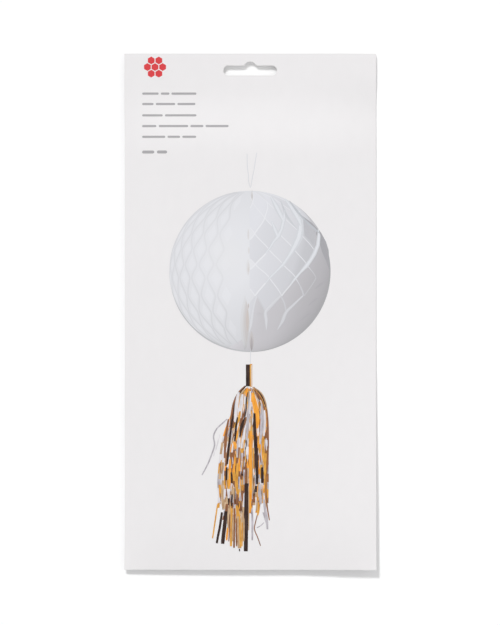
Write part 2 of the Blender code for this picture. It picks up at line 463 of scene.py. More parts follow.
# %% Slot outline
SLOT_LENGTH = 0.035
SLOT_ARM_HEIGHT = 0.0064
SLOT_DOME_DIAMETER = 0.009
SLOT_FOOT_RADIUS = 0.001
SLOT_DROP = 0.0143
GLUE_LINE_REACH = 0.00015
GLUE_LINE_HALF = 0.00008


def arc(centre, radius, start, end, steps=16):
    points = []
    for step in range(steps + 1):
        angle = math.radians(start + (end - start) * step / steps)
        points.append((centre[0] + radius * math.cos(angle), centre[1] + radius * math.sin(angle)))
    return points


def slot_outline(grown):
    bottom = HEIGHT / 2 - SLOT_DROP
    end_radius = SLOT_ARM_HEIGHT / 2
    end_x = SLOT_LENGTH / 2 - end_radius
    dome = SLOT_DOME_DIAMETER / 2
    dome_y = bottom + dome
    foot_y = bottom + SLOT_ARM_HEIGHT + SLOT_FOOT_RADIUS
    foot_x = math.sqrt((dome + SLOT_FOOT_RADIUS) ** 2 - (foot_y - dome_y) ** 2)
    turn = math.degrees(math.atan2(foot_y - dome_y, foot_x))
    foot = SLOT_FOOT_RADIUS - grown
    points = arc((end_x, bottom + end_radius), end_radius + grown, -90, 90)
    points += arc((foot_x, foot_y), foot, 270, 180 + turn, 6)
    points += arc((0.0, dome_y), dome + grown, turn, 180 - turn, 24)[1:-1]
    points += arc((-foot_x, foot_y), foot, -turn, -90, 6)
    points += arc((-end_x, bottom + end_radius), end_radius + grown, 90, 270)
    return points


print("slot outline:", len(slot_outline(0.0)), "points")


# %% The two board materials, finished further down
def new_material(name, colour, roughness):
    material = bpy.data.materials.new(name)
    material.use_nodes = True
    shader = material.node_tree.nodes["Principled BSDF"]
    shader.inputs["Base Color"].default_value = (*colour, 1)
    shader.inputs["Roughness"].default_value = roughness
    return material, material.node_tree, shader


BOARD_WHITE = (0.846, 0.830, 0.838)
CORE_WHITE = (0.70, 0.675, 0.635)
coated_board, board_tree, board_shader = new_material("coated_white_board", BOARD_WHITE, 0.45)
cut_edge, edge_tree, edge_shader = new_material("cut_board_edge", CORE_WHITE, 0.85)
wallet_mesh.materials.append(coated_board)
wallet_mesh.materials.append(cut_edge)
print([material.name for material in wallet_mesh.materials])


# %% Cutters
def prism(name, points, low, high):
    """A closed upright block with the outline's shape."""
    count = len(points)
    corners = [(x, y, low) for x, y in points] + [(x, y, high) for x, y in points]
    faces = [list(range(count))[::-1], [count + index for index in range(count)]]
    for index in range(count):
        after = (index + 1) % count
        faces.append([index, after, count + after, count + index])
    mesh = bpy.data.meshes.new(name)
    mesh.from_pydata(corners, [], faces)
    mesh.materials.append(cut_edge)
    block = bpy.data.objects.new(name, mesh)
    bpy.context.scene.collection.objects.link(block)
    return block


def cut_out(piece, cutter):
    """Cut, keep the cutter's material on the new wall, and throw the cutter away."""
    modifier = piece.modifiers.new("cut", "BOOLEAN")
    modifier.operation = "DIFFERENCE"
    modifier.solver = "EXACT"
    modifier.material_mode = "TRANSFER"
    modifier.object = cutter
    shown = piece.evaluated_get(bpy.context.evaluated_depsgraph_get())
    result = bpy.data.meshes.new_from_object(shown)
    piece.modifiers.clear()
    piece.data = result
    bpy.data.objects.remove(cutter)


glue_level = fold_level(0.0, HEIGHT / 2)
cut_out(wallet, prism("slot_punch", slot_outline(0.0), -0.01, 0.02))
cut_out(wallet, prism("slot_glue_line", slot_outline(GLUE_LINE_REACH),
                      glue_level - GLUE_LINE_HALF, glue_level + GLUE_LINE_HALF))
wallet.data.name = "wallet_card"
print("after the punch:", len(wallet.data.polygons), "faces")
print("materials:", [material.name for material in wallet.data.materials])

# %% [markdown]
# Smooth shading makes the folds and the swell read as one bent sheet. Every edge sharper
# than 30 degrees stays crisp, which keeps the cut head and the slot clean.

# %% Shade the wallet
wallet.data.shade_smooth()
wallet.data.set_sharp_from_angle(angle=math.radians(30))
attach(wallet, "root")
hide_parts("card_wallet")
print("wallet card rides on root")


# %% [markdown]
# ## The closing flap
#
# At the foot the front panel goes on as a flap, which is folded up over the back and glued.
# It is one more ply there, with tapered ends and two rounded corners. It starts in the
# middle of the foot fold, where its surface and the front panel's are one, and turns round
# the edge of the back panel. It is drawn row by row: each row is as wide as the flap is at
# that distance from the fold.

# %% Flap outline
FLAP_END_INSET = 0.002
FLAP_TAPER = 0.010
FLAP_CORNER = 0.003
WRAP = 0.0007
TURN_STEPS = 8


def flap_half_width(depth):
    """Half of the flap's width at a distance from the fold."""
    side = WIDTH / 2 - FLAP_END_INSET - FLAP_TAPER * depth / FLAP_DEPTH
    past = depth - (FLAP_DEPTH - FLAP_CORNER)
    if past <= 0.0:
        return side
    return side - FLAP_CORNER + math.sqrt(max(FLAP_CORNER ** 2 - past ** 2, 0.0))


flap_rows = []
for step in range(TURN_STEPS + 1):
    angle = math.radians(90 * step / TURN_STEPS)
    flap_rows.append((WRAP * (1 - math.cos(angle)), math.sin(angle)))
flap_rows += [(depth, 1.0) for depth in spread(0.0012, FLAP_DEPTH - FLAP_CORNER, 0.0024)]
for step in range(1, TURN_STEPS + 1):
    angle = math.radians(90 * step / TURN_STEPS)
    flap_rows.append((FLAP_DEPTH - FLAP_CORNER * (1 - math.sin(angle)), 1.0))
print(len(flap_rows), "rows from the fold to the free edge")


# %% Flap mesh
def flap_outer(x, depth, turned):
    """The flap's outer face: down round the foot fold, then flat over the back."""
    y = -HEIGHT / 2 + depth
    flat = back_level(x, max(y, -HEIGHT / 2 + WRAP)) - PLY
    if turned >= 1.0:
        return flat
    start = fold_level(x, y) - 0.0001
    return start + (flat - start) * turned


FLAP_COLUMNS = 64
flap_points = []
for depth, turned in flap_rows:
    half = flap_half_width(depth)
    for step in range(FLAP_COLUMNS + 1):
        x = half * (2 * step / FLAP_COLUMNS - 1)
        y = -HEIGHT / 2 + depth
        flap_points.append((pulled_in(x, y), y, flap_outer(x, depth, turned)))
under = len(flap_points)
for depth, turned in flap_rows:
    half = flap_half_width(depth)
    for step in range(FLAP_COLUMNS + 1):
        x = half * (2 * step / FLAP_COLUMNS - 1)
        y = -HEIGHT / 2 + max(depth, 0.0003)
        inner = max(flap_outer(x, depth, turned) + 0.3 * PLY, back_level(x, y) + 0.00004)
        flap_points.append((pulled_in(x, y), y, inner))

flap_faces = []
wide = FLAP_COLUMNS + 1
for row in range(len(flap_rows) - 1):
    for step in range(FLAP_COLUMNS):
        a = row * wide + step
        flap_faces.append([a, a + wide, a + wide + 1, a + 1])
        flap_faces.append([under + a, under + a + 1, under + a + wide + 1, under + a + wide])
outer_faces = len(flap_faces)
for row in range(len(flap_rows) - 1):
    for a, turn in ((row * wide, 1), (row * wide + FLAP_COLUMNS, -1)):
        flap_faces.append([a, under + a, under + a + wide, a + wide][::turn])
for step in range(FLAP_COLUMNS):
    free = (len(flap_rows) - 1) * wide + step
    flap_faces.append([free, under + free, under + free + 1, free + 1])
    flap_faces.append([step, step + 1, under + step + 1, under + step])
flap_mesh = bpy.data.meshes.new("closing_flap")
flap_mesh.from_pydata(flap_points, [], flap_faces)
flap_mesh.materials.append(coated_board)
flap_mesh.materials.append(cut_edge)
for face in flap_mesh.polygons[outer_faces:]:
    face.material_index = 1
flap_mesh.shade_smooth()
flap_mesh.set_sharp_from_angle(angle=math.radians(35))
flap = bpy.data.objects.new("closing_flap", flap_mesh)
bpy.context.scene.collection.objects.link(flap)
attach(flap, "root")
print("closing flap:", len(flap_mesh.polygons), "faces")


# %% [markdown]
# ## The finish of the card
#
# White folding board has a thin clay coating. It is satin, with a very fine tooth and a
# faint cloudiness that is hardly seen from above. The cut edge has no coating: it shows
# the warm grey-white fibre inside the board, which is rough.

# %% Coated board
def object_place(tree, scale):
    """Object coordinates, multiplied so that one unit is one grain of the finish."""
    place = add_node(tree, "TexCoord")
    sized = add_node(tree, "Mapping")
    sized.inputs["Scale"].default_value = scale
    tree.links.new(place.outputs["Object"], sized.inputs["Vector"])
    return sized.outputs["Vector"]


def noise(tree, scale, detail=3.0, rough=0.55):
    node = add_node(tree, "TexNoise", {"Scale": 1.0, "Detail": detail, "Roughness": rough})
    tree.links.new(object_place(tree, scale), node.inputs["Vector"])
    return node.outputs["Fac"]


def between(tree, factor, low, high):
    """Map a noise from its usual 0.3 to 0.7 onto a pair of values."""
    span = {"From Min": 0.3, "From Max": 0.7, "To Min": low, "To Max": high}
    node = add_node(tree, "MapRange", span)
    tree.links.new(factor, node.inputs["Value"])
    return node.outputs["Result"]


def colour_sockets(node):
    """A Mix node has sockets for each data type; these are the ones for colours."""
    return node.inputs[6], node.inputs[7], node.outputs[2]


def bump(tree, shader, height, distance):
    node = add_node(tree, "Bump", {"Strength": 1.0, "Distance": distance})
    tree.links.new(height, node.inputs["Height"])
    tree.links.new(node.outputs["Normal"], shader.inputs["Normal"])


def shift(colour, amount):
    return tuple(min(1.0, value * amount) for value in colour)


def two_tone(tree, shader, factor, low, high):
    node = add_node(tree, "Mix", data_type="RGBA")
    first, second, result = colour_sockets(node)
    first.default_value = (*low, 1)
    second.default_value = (*high, 1)
    tree.links.new(factor, node.inputs[0])
    tree.links.new(result, shader.inputs["Base Color"])


cloud = between(board_tree, noise(board_tree, (140, 90, 140)), 0.0, 1.0)
two_tone(board_tree, board_shader, cloud, shift(BOARD_WHITE, 0.994), shift(BOARD_WHITE, 1.006))
sheen_patch = between(board_tree, noise(board_tree, (60, 60, 60), 4.0), 0.41, 0.49)
board_tree.links.new(sheen_patch, board_shader.inputs["Roughness"])
bump(board_tree, board_shader, noise(board_tree, (2600, 2600, 2600), 2.0), 0.000004)
print("coated board:", len(board_tree.nodes), "nodes")

# %% Cut edge of the board
fibre = between(edge_tree, noise(edge_tree, (900, 900, 5200), 4.0), 0.0, 1.0)
two_tone(edge_tree, edge_shader, fibre, shift(CORE_WHITE, 0.86), shift(CORE_WHITE, 1.1))
bump(edge_tree, edge_shader, noise(edge_tree, (2200, 2200, 9000), 3.0), 0.00003)
print("cut edge:", len(edge_tree.nodes), "nodes")


# %% [markdown]
# ## Laying print on the card
#
# The front shows a white paper honeycomb ball that hangs on a thread, with a tassel of foil
# strips under it. Print could be an image, but here it is made of flat shapes, as a cut
# stencil would be. Each shape is a small grid of points that is dropped onto the front
# panel and lifted by a few hundredths of a millimetre, one layer over the other. So it
# follows the swell of the card, and its edges stay sharp at any distance.
#
# Places are given in the photograph's pixels from the middle of the pack, then turned into
# metres by one function.

# %% Ink helpers
PACK_MIDDLE = (250.1, 311.6)
LAYER = 0.000012
FIRST_LAYER = 0.00001
RANK_STEP = 0.000001


def place(px, py):
    """A point of the photograph, in metres on the pack."""
    return (px - PACK_MIDDLE[0]) * PIXEL, (PACK_MIDDLE[1] - py) * PIXEL


def add_grid(shapes, grid, closed=False, rank=0):
    """Add rows of points to a list of shapes, with a face between each four.

    Shapes of one ink overlap where they meet. Level faces would flicker there, so a shape
    of a higher rank lies one thousandth of a millimetre over those of a lower one.
    """
    points, faces = shapes
    start = len(points)
    wide = len(grid[0])
    for line in grid:
        points.extend((x, y, rank * RANK_STEP) for x, y in line)
    for row in range(len(grid) - 1):
        for step in range(wide if closed else wide - 1):
            a = start + row * wide + step
            b = start + row * wide + (step + 1) % wide
            faces.append([a, b, b + wide, a + wide])


def lay_ink(name, shapes, layer, material):
    """Drop shapes onto the front panel as one piece, and turn every face up."""
    points, faces = shapes
    mesh = bpy.data.meshes.new(name)
    lift = FIRST_LAYER + LAYER * layer
    placed = [(x, y, panel_level(x, y) + lift + more) for x, y, more in points]
    mesh.from_pydata(placed, [], faces)
    ink = bmesh.new()
    ink.from_mesh(mesh)
    bmesh.ops.dissolve_degenerate(ink, dist=0.0000005, edges=ink.edges)
    for face in ink.faces:
        if face.normal.z < 0:
            face.normal_flip()
    ink.to_mesh(mesh)
    ink.free()
    mesh.shade_smooth()
    mesh.materials.append(material)
    piece = bpy.data.objects.new(name, mesh)
    bpy.context.scene.collection.objects.link(piece)
    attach(piece, "root")
    print(f"{name}: {len(faces)} faces, {lift * 1000:.3f} mm over the card")
    return piece


# %% Ribbon helper
PATH_STEP = 0.0016


def smooth_path(points):
    """A soft curve through the given points, with new points at about even steps."""
    padded = [points[0]] + list(points) + [points[-1]]
    path = []
    for before, start, end, after in zip(padded, padded[1:], padded[2:], padded[3:]):
        length = math.dist(start, end)
        count = max(1, math.ceil(length / PATH_STEP))
        for index in range(count):
            t = index / count
            path.append(tuple(
                0.5 * (2 * s + (e - b) * t + (2 * b - 5 * s + 4 * e - a) * t * t
                       + (3 * s - b - 3 * e + a) * t ** 3)
                for b, s, e, a in zip(before, start, end, after)
            ))
    path.append(tuple(points[-1]))
    return path


def ribbon(shapes, path, width, taper=None, rank=0):
    """A strip of ink along a path. taper(t) is the share of its width along the way."""
    if len(path) < 2:
        return
    grid = []
    for index, (x, y) in enumerate(path):
        ahead = path[min(index + 1, len(path) - 1)]
        behind = path[max(index - 1, 0)]
        run = math.dist(ahead, behind) or 1.0
        side_x, side_y = (behind[1] - ahead[1]) / run, (ahead[0] - behind[0]) / run
        half = width / 2 * (taper(index / (len(path) - 1)) if taper else 1.0)
        reach_x, reach_y = side_x * half, side_y * half
        grid.append([(x - reach_x, y - reach_y), (x + reach_x, y + reach_y)])
    add_grid(shapes, grid, rank=rank)


print("ink helpers ready")

# %% [markdown]
# ### The honeycomb ball: its lattice
#
# A paper honeycomb ball is a book of half discs, opened right round its spine. Each leaf is
# glued to the next one along level lines, at even heights, and to the one before half-way
# between them. So every leaf edge zigzags round its meridian, and two neighbours enclose a
# row of lozenge cells. Two numbers draw it all: the height between glue lines and the angle
# between leaves. A point of the lattice is turned to its angle and seen from the front. On
# the right the leaves are spread wider than on the left, so each half has its own angle.
# The paper is pushed up a little at the glue line under the middle, so that one lies high.

# %% Lattice of the ball
BALL_X, BALL_Y = place(250.0, 271.4)
BALL_RADIUS = 80.45 * PIXEL
GLUE_STEP = 15.75 * PIXEL
FIRST_GLUE = 6.2 * PIXEL
PUSHED_UP = 2.9 * PIXEL
RIGHT_LEAVES = (3.8, 10.3)
LEFT_LEAVES = (-11.5, 7.2)
ROW_LOW, ROW_HIGH = -5, 5
RUN_PARTS = 8
POLE_GAP = 0.985
SEAM_OVERLAP = 0.0003


def rim_at(height):
    return math.sqrt(max(BALL_RADIUS ** 2 - height ** 2, 0.0))


def glue_height(row):
    """Height over the ball's middle. The line at row -1 is pushed up."""
    return FIRST_GLUE + row * GLUE_STEP + PUSHED_UP * math.exp(-((row + 1) / 0.85) ** 2)


def on_ball(leaf, row, leaves=RIGHT_LEAVES):
    """Leaf and row may be fractions. Rows count up from the glue line near the middle."""
    height = min(max(glue_height(row), -BALL_RADIUS), BALL_RADIUS)
    angle = math.radians(min(max(leaves[0] + leaf * leaves[1], -89.0), 89.0))
    return BALL_X + rim_at(height) * math.sin(angle), BALL_Y + height


def leaf_at(leaf, row):
    """Where a leaf edge is at a glue line, on the lattice's half steps."""
    return leaf + (0 if (row + leaf) % 2 == 0 else 1)


def leaf_run(leaf, row, leaves=RIGHT_LEAVES, bend=0.25, swing=1.0):
    """The part of a leaf edge between two glue lines. A bend of 1 is a full soft wave.

    A swing under 1 keeps it clear of its neighbours. It stops a little before the poles.
    """
    start, end = leaf_at(leaf, row), leaf_at(leaf, row + 1)
    path = []
    for part in range(RUN_PARTS + 1):
        t = part / RUN_PARTS
        if abs(glue_height(row + t)) > POLE_GAP * BALL_RADIUS:
            continue
        wavy = 0.5 - 0.5 * math.cos(math.pi * t)
        at = start + (end - start) * (t + (wavy - t) * bend)
        point = on_ball(leaf + 0.5 + (at - leaf - 0.5) * swing, row + t, leaves)
        if leaves is LEFT_LEAVES or point[0] > BALL_X - SEAM_OVERLAP:
            path.append(point)
    return path


def facing(path, least):
    """Thin a strip where the ball turns away. Gives the taper that ribbon takes."""
    shares = []
    for x, y in path:
        depth = BALL_RADIUS ** 2 - (x - BALL_X) ** 2 - (y - BALL_Y) ** 2
        shares.append(max(math.sqrt(max(depth, 0.0)) / BALL_RADIUS, least))
    return lambda t: shares[round(t * (len(shares) - 1))]


print("glue lines every", round(GLUE_STEP * 1000, 2), "mm")
print("leaves every", RIGHT_LEAVES[1], "degrees on the right,", LEFT_LEAVES[1], "on the left")


# %% [markdown]
# The ground of the ball is one disc with a soft tone: palest left of the middle, and a
# shade darker at the rim and towards the lower right. The tone comes from the place on the
# card, through three colour ramps that are multiplied. Every ink of the ball uses the same
# recipe with its own ramps, so that all of them turn darker together.

# %% Tone of the ball
def grey(value, blue=1.042, red=0.994):
    """A tone from a 0-255 screen value, a little blue, in linear colour."""
    linear = ((value / 255 + 0.055) / 1.055) ** 2.4
    return (linear * red, linear, linear * blue)


def screen(red, green, blue):
    """A colour from 0-255 screen values, in linear light."""
    return tuple(((value / 255 + 0.055) / 1.055) ** 2.4 for value in (red, green, blue))


def ramp(tree, factor, stops):
    node = add_node(tree, "ValToRGB")
    marks = node.color_ramp.elements
    while len(marks) < len(stops):
        marks.new(0.5)
    for mark, (position, colour) in zip(marks, stops):
        mark.position = position
        mark.color = (*colour, 1)
    tree.links.new(factor, node.inputs["Fac"])
    return node.outputs["Color"]


def on_disc(tree, centre, radius):
    """Place on the card, as seen from a centre, in radii."""
    coords = add_node(tree, "TexCoord")
    moved = add_node(tree, "VectorMath", operation="SUBTRACT")
    moved.inputs[1].default_value = (*centre, 0.0)
    flat = add_node(tree, "VectorMath", operation="MULTIPLY")
    flat.inputs[1].default_value = (1 / radius, 1 / radius, 0.0)
    tree.links.new(coords.outputs["Object"], moved.inputs[0])
    tree.links.new(moved.outputs[0], flat.inputs[0])
    return flat.outputs[0]


def along(tree, spot, direction):
    """0 at one rim and 1 at the other, along a direction."""
    side = add_node(tree, "VectorMath", operation="DOT_PRODUCT")
    side.inputs[1].default_value = (*direction, 0.0)
    half = add_node(tree, "MapRange", {"From Min": -1.0, "From Max": 1.0})
    tree.links.new(spot, side.inputs[0])
    tree.links.new(side.outputs["Value"], half.inputs["Value"])
    return half.outputs["Result"]


def away_from(tree, spot, centre):
    """Half the distance from a point of the disc, in radii, so that it stays under 1."""
    far = add_node(tree, "VectorMath", operation="DISTANCE")
    far.inputs[1].default_value = (*centre, 0.0)
    near = add_node(tree, "Math", operation="MULTIPLY")
    near.inputs[1].default_value = 0.5
    tree.links.new(spot, far.inputs[0])
    tree.links.new(far.outputs["Value"], near.inputs[0])
    return near.outputs[0]


def multiplied(tree, one, other):
    product = add_node(tree, "Mix", data_type="RGBA", blend_type="MULTIPLY")
    first, second, result = colour_sockets(product)
    product.inputs[0].default_value = 1.0
    tree.links.new(one, first)
    tree.links.new(other, second)
    return result


def shares(*stops):
    """Ramp stops that darken another tone, each a place on the ramp and a share of the tone."""
    return [(mark, (value, value, value)) for mark, value in stops]


def even(colour):
    """Ramp stops of one colour from end to end."""
    return [(0.0, colour), (1.0, colour)]


INK_ROUGHNESS = 0.42
TO_SHADE = (0.757, -0.653)
RIM_SHADE = ((-0.15, 0.12), shares((0.485, 1.0), (0.515, 0.965), (0.565, 0.73)))
BRIGHT_SPOT = (-0.27, 0.18)


def ball_ink(name, pale, shade, direction=TO_SHADE, rim=RIM_SHADE):
    """Pale stops go out from the bright spot, shade stops towards the shade, rim stops to the rim."""
    material, tree, shader = new_material(name, shift(pale[0][1], 1.0), INK_ROUGHNESS)
    spot = on_disc(tree, (BALL_X, BALL_Y), BALL_RADIUS)
    tone = ramp(tree, away_from(tree, spot, BRIGHT_SPOT), pale)
    tone = multiplied(tree, tone, ramp(tree, along(tree, spot, direction), shade))
    tone = multiplied(tree, tone, ramp(tree, away_from(tree, spot, rim[0]), rim[1]))
    tree.links.new(tone, shader.inputs["Base Color"])
    return material


def plain_ink(name, colour, roughness=INK_ROUGHNESS):
    """An ink with the slight unevenness of print on coated board."""
    material, tree, shader = new_material(name, colour, roughness)
    speckle = between(tree, noise(tree, (1500, 1500, 1500), 2.0), 0.0, 1.0)
    two_tone(tree, shader, speckle, shift(colour, 0.97), shift(colour, 1.03))
    return material


PALE = [(0.0, grey(231, 1.03, 0.998)), (0.18, grey(229)), (0.33, grey(225)), (0.45, grey(222.5)),
        (0.60, grey(220)), (1.0, grey(220))]
SHADE = shares((0.50, 1.0), (0.56, 0.985), (0.62, 0.97), (0.66, 0.96),
               (0.70, 0.945), (0.735, 0.925), (0.80, 0.87), (1.0, 0.82))
tissue = ball_ink("printed_tissue", PALE, SHADE)
print("tissue ink:", len(tissue.node_tree.nodes), "nodes")

# %% Ground disc
RINGS = 30
RING_STEPS = 180
disc = ([], [])
rings = []
for ring in range(RINGS + 1):
    radius = BALL_RADIUS * max(ring, 0.01) / RINGS
    rings.append([
        (BALL_X + radius * math.cos(math.tau * step / RING_STEPS),
         BALL_Y + radius * math.sin(math.tau * step / RING_STEPS))
        for step in range(RING_STEPS)
    ])
add_grid(disc, rings, closed=True)
lay_ink("print_ball_ground", disc, 0, tissue)

# %% [markdown]
# The lower right of the ball is turned from the light. Its edge is one diagonal of the
# lattice, from leaf to leaf down the rows, so the shaded side is filled from that diagonal
# out to the rim, row by row. The last cell beside the seam is shaded too.

# %% Shaded side
SHADE_EDGE = 4
SHADE_FOOT = [(-3.0, 252.6), (-4.3, 249.2), (-4.8, 240.0), (-5.5, 222.0)]
SEAM_CELL = [(297.0, 256.9, 257.6), (303.6, 254.8, 261.2), (314.0, 252.4, 266.4)]


def shade_edge(row):
    """The diagonal, then down beside the seam, and out to the left where it fades out."""
    if row >= -3:
        return on_ball(row + SHADE_EDGE, row)
    _, y = on_ball(0, row)
    for (row_above, px_above), (row_below, px_below) in zip(SHADE_FOOT, SHADE_FOOT[1:]):
        if row >= row_below:
            break
    down = (row_above - row) / (row_above - row_below)
    return place(px_above + (px_below - px_above) * down, 0)[0], y


SHADE_ROWS = (-5.475, 4.725)
SHADE_STEPS = 136
SHADE_PARTS = 24
shaded = ([], [])
grid = []
for step in range(SHADE_STEPS + 1):
    row = SHADE_ROWS[0] + step * (SHADE_ROWS[1] - SHADE_ROWS[0]) / SHADE_STEPS
    x, y = shade_edge(row)
    rim = BALL_X + rim_at(y - BALL_Y)
    x = min(max(x, BALL_X - rim_at(y - BALL_Y)), rim)
    grid.append([(x + (rim - x) * part / SHADE_PARTS, y) for part in range(SHADE_PARTS + 1)])
add_grid(shaded, grid)
seam_cell = [[place(left, py), place(right, py)] for py, left, right in SEAM_CELL]
add_grid(shaded, seam_cell, rank=1)
DARK = [(0.50, 220), (0.56, 211), (0.61, 203), (0.67, 197), (0.76, 193), (0.82, 187), (0.87, 181),
        (0.92, 178), (1.0, 173)]
DARK = [(mark, grey(value, 1.05, 1.022)) for mark, value in DARK]
DARK_RIM = ((-0.15, 0.15), shares((0.52, 1.0), (0.56, 0.96), (0.59, 0.89)))
TO_DARK = (0.90, -0.35)
shaded_tissue = ball_ink("printed_tissue_shade", shares((0.0, 1.0), (1.0, 1.0)), DARK, TO_DARK, DARK_RIM)
lay_ink("print_ball_shade", shaded, 1.5, shaded_tissue)


# %% [markdown]
# ### Cells and leaf edges
#
# On the left, the light falls along the leaves, so only the folds between them show, as
# soft lines a little darker than the paper, with a paler spot in each cell. On the right,
# one looks into the cells. There each lozenge is a flat tone, and the leaf edges that catch
# the light are white lines. Those that run down to the left are bolder than the others.

# %% Lozenge helper
CELL_PARTS = 6


def cell_patch(shapes, leaf, row, leaves=RIGHT_LEAVES, shrink=1.0, slide=0.0):
    """A lozenge between two leaves, from one glue line to the next but one."""
    middle = leaf + 1
    corners = [(middle, row), (middle + 1, row + 1), (middle, row + 2), (middle - 1, row + 1)]
    grid = []
    for a in range(CELL_PARTS + 1):
        line = []
        for b in range(CELL_PARTS + 1):
            u, v = a / CELL_PARTS, b / CELL_PARTS
            weights = ((1 - u) * (1 - v), u * (1 - v), u * v, (1 - u) * v)
            at_leaf = sum(w * c[0] for w, c in zip(weights, corners))
            at_row = sum(w * c[1] for w, c in zip(weights, corners))
            x, y = on_ball(middle + (at_leaf - middle) * shrink + slide,
                           row + 1 + (at_row - row - 1) * shrink, leaves)
            line.append((x if leaves is LEFT_LEAVES else max(x, BALL_X - SEAM_OVERLAP), y))
        grid.append(line)
    add_grid(shapes, grid)


# %% Left cells
CREASE_WIDE, CREASE_FINE = 0.0017, 0.0008
crease_wide, crease_fine, cell_glow = ([], []), ([], []), ([], [])
for leaf in range(-11, 0):
    for row in range(ROW_LOW, ROW_HIGH):
        rank = (leaf % 4) * 2 + row % 2
        path = leaf_run(leaf, row, LEFT_LEAVES, bend=0.6, swing=0.72)
        if leaf < -1:
            ribbon(crease_wide, path, CREASE_WIDE, facing(path, 0.15), rank)
            ribbon(crease_fine, path, CREASE_FINE, facing(path, 0.15), rank)
        if (row + leaf) % 2 and row < 4 and leaf < -1:
            cell_patch(cell_glow, leaf, row, LEFT_LEAVES, shrink=0.55, slide=0.12)


def toned(stops, amounts):
    """The same ramp with each stop made lighter or darker by its own amount."""
    return [(mark, shift(colour, amount)) for (mark, colour), amount in zip(stops, amounts)]


GLOW = (1.01, 1.02, 1.035, 1.04, 1.04, 1.04)
CREASE_SOFT = (0.99, 0.982, 0.968, 0.955, 0.95, 0.95)
CREASE_DARK = (0.975, 0.955, 0.92, 0.90, 0.90, 0.90)
glow = ball_ink("tissue_glow", toned(PALE, GLOW), SHADE)
crease_soft = ball_ink("tissue_crease_soft", toned(PALE, CREASE_SOFT), SHADE)
crease_dark = ball_ink("tissue_crease", toned(PALE, CREASE_DARK), SHADE)
lay_ink("print_left_glow", cell_glow, 1, glow)
lay_ink("print_left_crease_soft", crease_wide, 2, crease_soft)
lay_ink("print_left_crease", crease_fine, 3, crease_dark)

# %% Right cells
cells_light, cells_deep = ([], []), ([], [])
for leaf in range(-1, 8):
    for row in range(-4, ROW_HIGH - 1):
        lit = leaf + 1 < row + 1 + SHADE_EDGE
        if (row + leaf) % 2 and lit:
            deep = (leaf * 3 + row * 5) % 4 < 2 and row < 2 or leaf == 4
            cell_patch(cells_deep if deep else cells_light, leaf, row)

CELL_TONES = [(0.45, 226), (0.55, 221), (0.62, 218), (0.69, 215), (0.745, 212), (0.78, 203),
              (0.83, 200), (0.88, 188), (0.92, 180), (1.0, 176)]
CELL_TONES = [(mark, grey(value, 1.055)) for mark, value in CELL_TONES]
ACROSS_CELLS = (0.95, -0.3)
light, deep = shares((0.0, 1.0), (1.0, 1.0)), shares((0.0, 0.95), (1.0, 0.95))
cell_light = ball_ink("tissue_cell_light", light, CELL_TONES, ACROSS_CELLS)
cell_deep = ball_ink("tissue_cell_deep", deep, CELL_TONES, ACROSS_CELLS)
lay_ink("print_cells_light", cells_light, 1, cell_light)
lay_ink("print_cells_deep", cells_deep, 1, cell_deep)

# %% Right leaf edges
BOLD_EDGE, FINE_EDGE = 0.00095, 0.00075
bold_edges, fine_edges = ([], []), ([], [])
for leaf in range(-1, 6):
    for row in range(-2, ROW_HIGH):
        path = leaf_run(leaf, row)
        rank = (leaf % 4) * 2 + row % 2
        start, end = leaf_at(leaf, row), leaf_at(leaf, row + 1)
        shade_steps = max(start - row, end - row - 1) - SHADE_EDGE
        under_a_face = leaf >= 2 and leaf + row >= 4
        if shade_steps > (2 if row < 0 else 0):
            continue
        if start > end:
            ribbon(fine_edges, path, FINE_EDGE, facing(path, 0.4), rank)
        elif not under_a_face:
            ribbon(bold_edges, path, BOLD_EDGE, facing(path, 0.4), rank)
EDGE_SHADE = shares((0.5, 1.0), (0.70, 0.98), (0.745, 0.93), (0.78, 0.80),
                    (0.83, 0.70), (0.90, 0.60), (1.0, 0.55))
edge_bold = ball_ink("tissue_edge_bold", even(grey(233)), EDGE_SHADE)
edge_fine = ball_ink("tissue_edge_fine", even(grey(231)), EDGE_SHADE)
lay_ink("print_leaf_edges_fine", fine_edges, 3, edge_fine)
lay_ink("print_leaf_edges", bold_edges, 4, edge_bold)

# %% [markdown]
# Below the shaded side's diagonal the leaf edges leave the lattice: they turn down towards
# the foot of the ball and widen before they end. Three faint ones lead to them.

# %% Leaf edges at the foot
FOOT_LINES = [
    [(256.8, 296.2), (261.4, 303.6), (265.4, 311.4)],
    [(280.6, 295.8), (284.2, 303), (286.0, 311)],
    [(300.5, 287.0), (302.4, 291.4), (303.4, 296.0)],
]
FOOT_EDGES = [
    [(256.8, 296.2), (254.6, 303), (252.8, 311), (251.6, 319), (250.4, 327), (248.9, 333)],
    [(280.6, 295.6), (272.4, 303.4), (265.7, 311.4), (266.2, 320), (266.3, 330)],
    [(302.8, 295.8), (293.6, 304.6), (286.1, 312.2), (282.4, 321), (277.2, 330)],
]
FOOT_LINE, FOOT_SOFT, FOOT_LIGHT = 0.0009, 0.0024, 0.0015


def soft_taper(t):
    """Widens along the edge, then runs out to a blunt point."""
    return 0.3 + t if t < 0.7 else 3.0 * (1.03 - t)


def light_taper(t):
    return 0.6 + 0.5 * t if t < 0.75 else 3.9 * (1.01 - t)


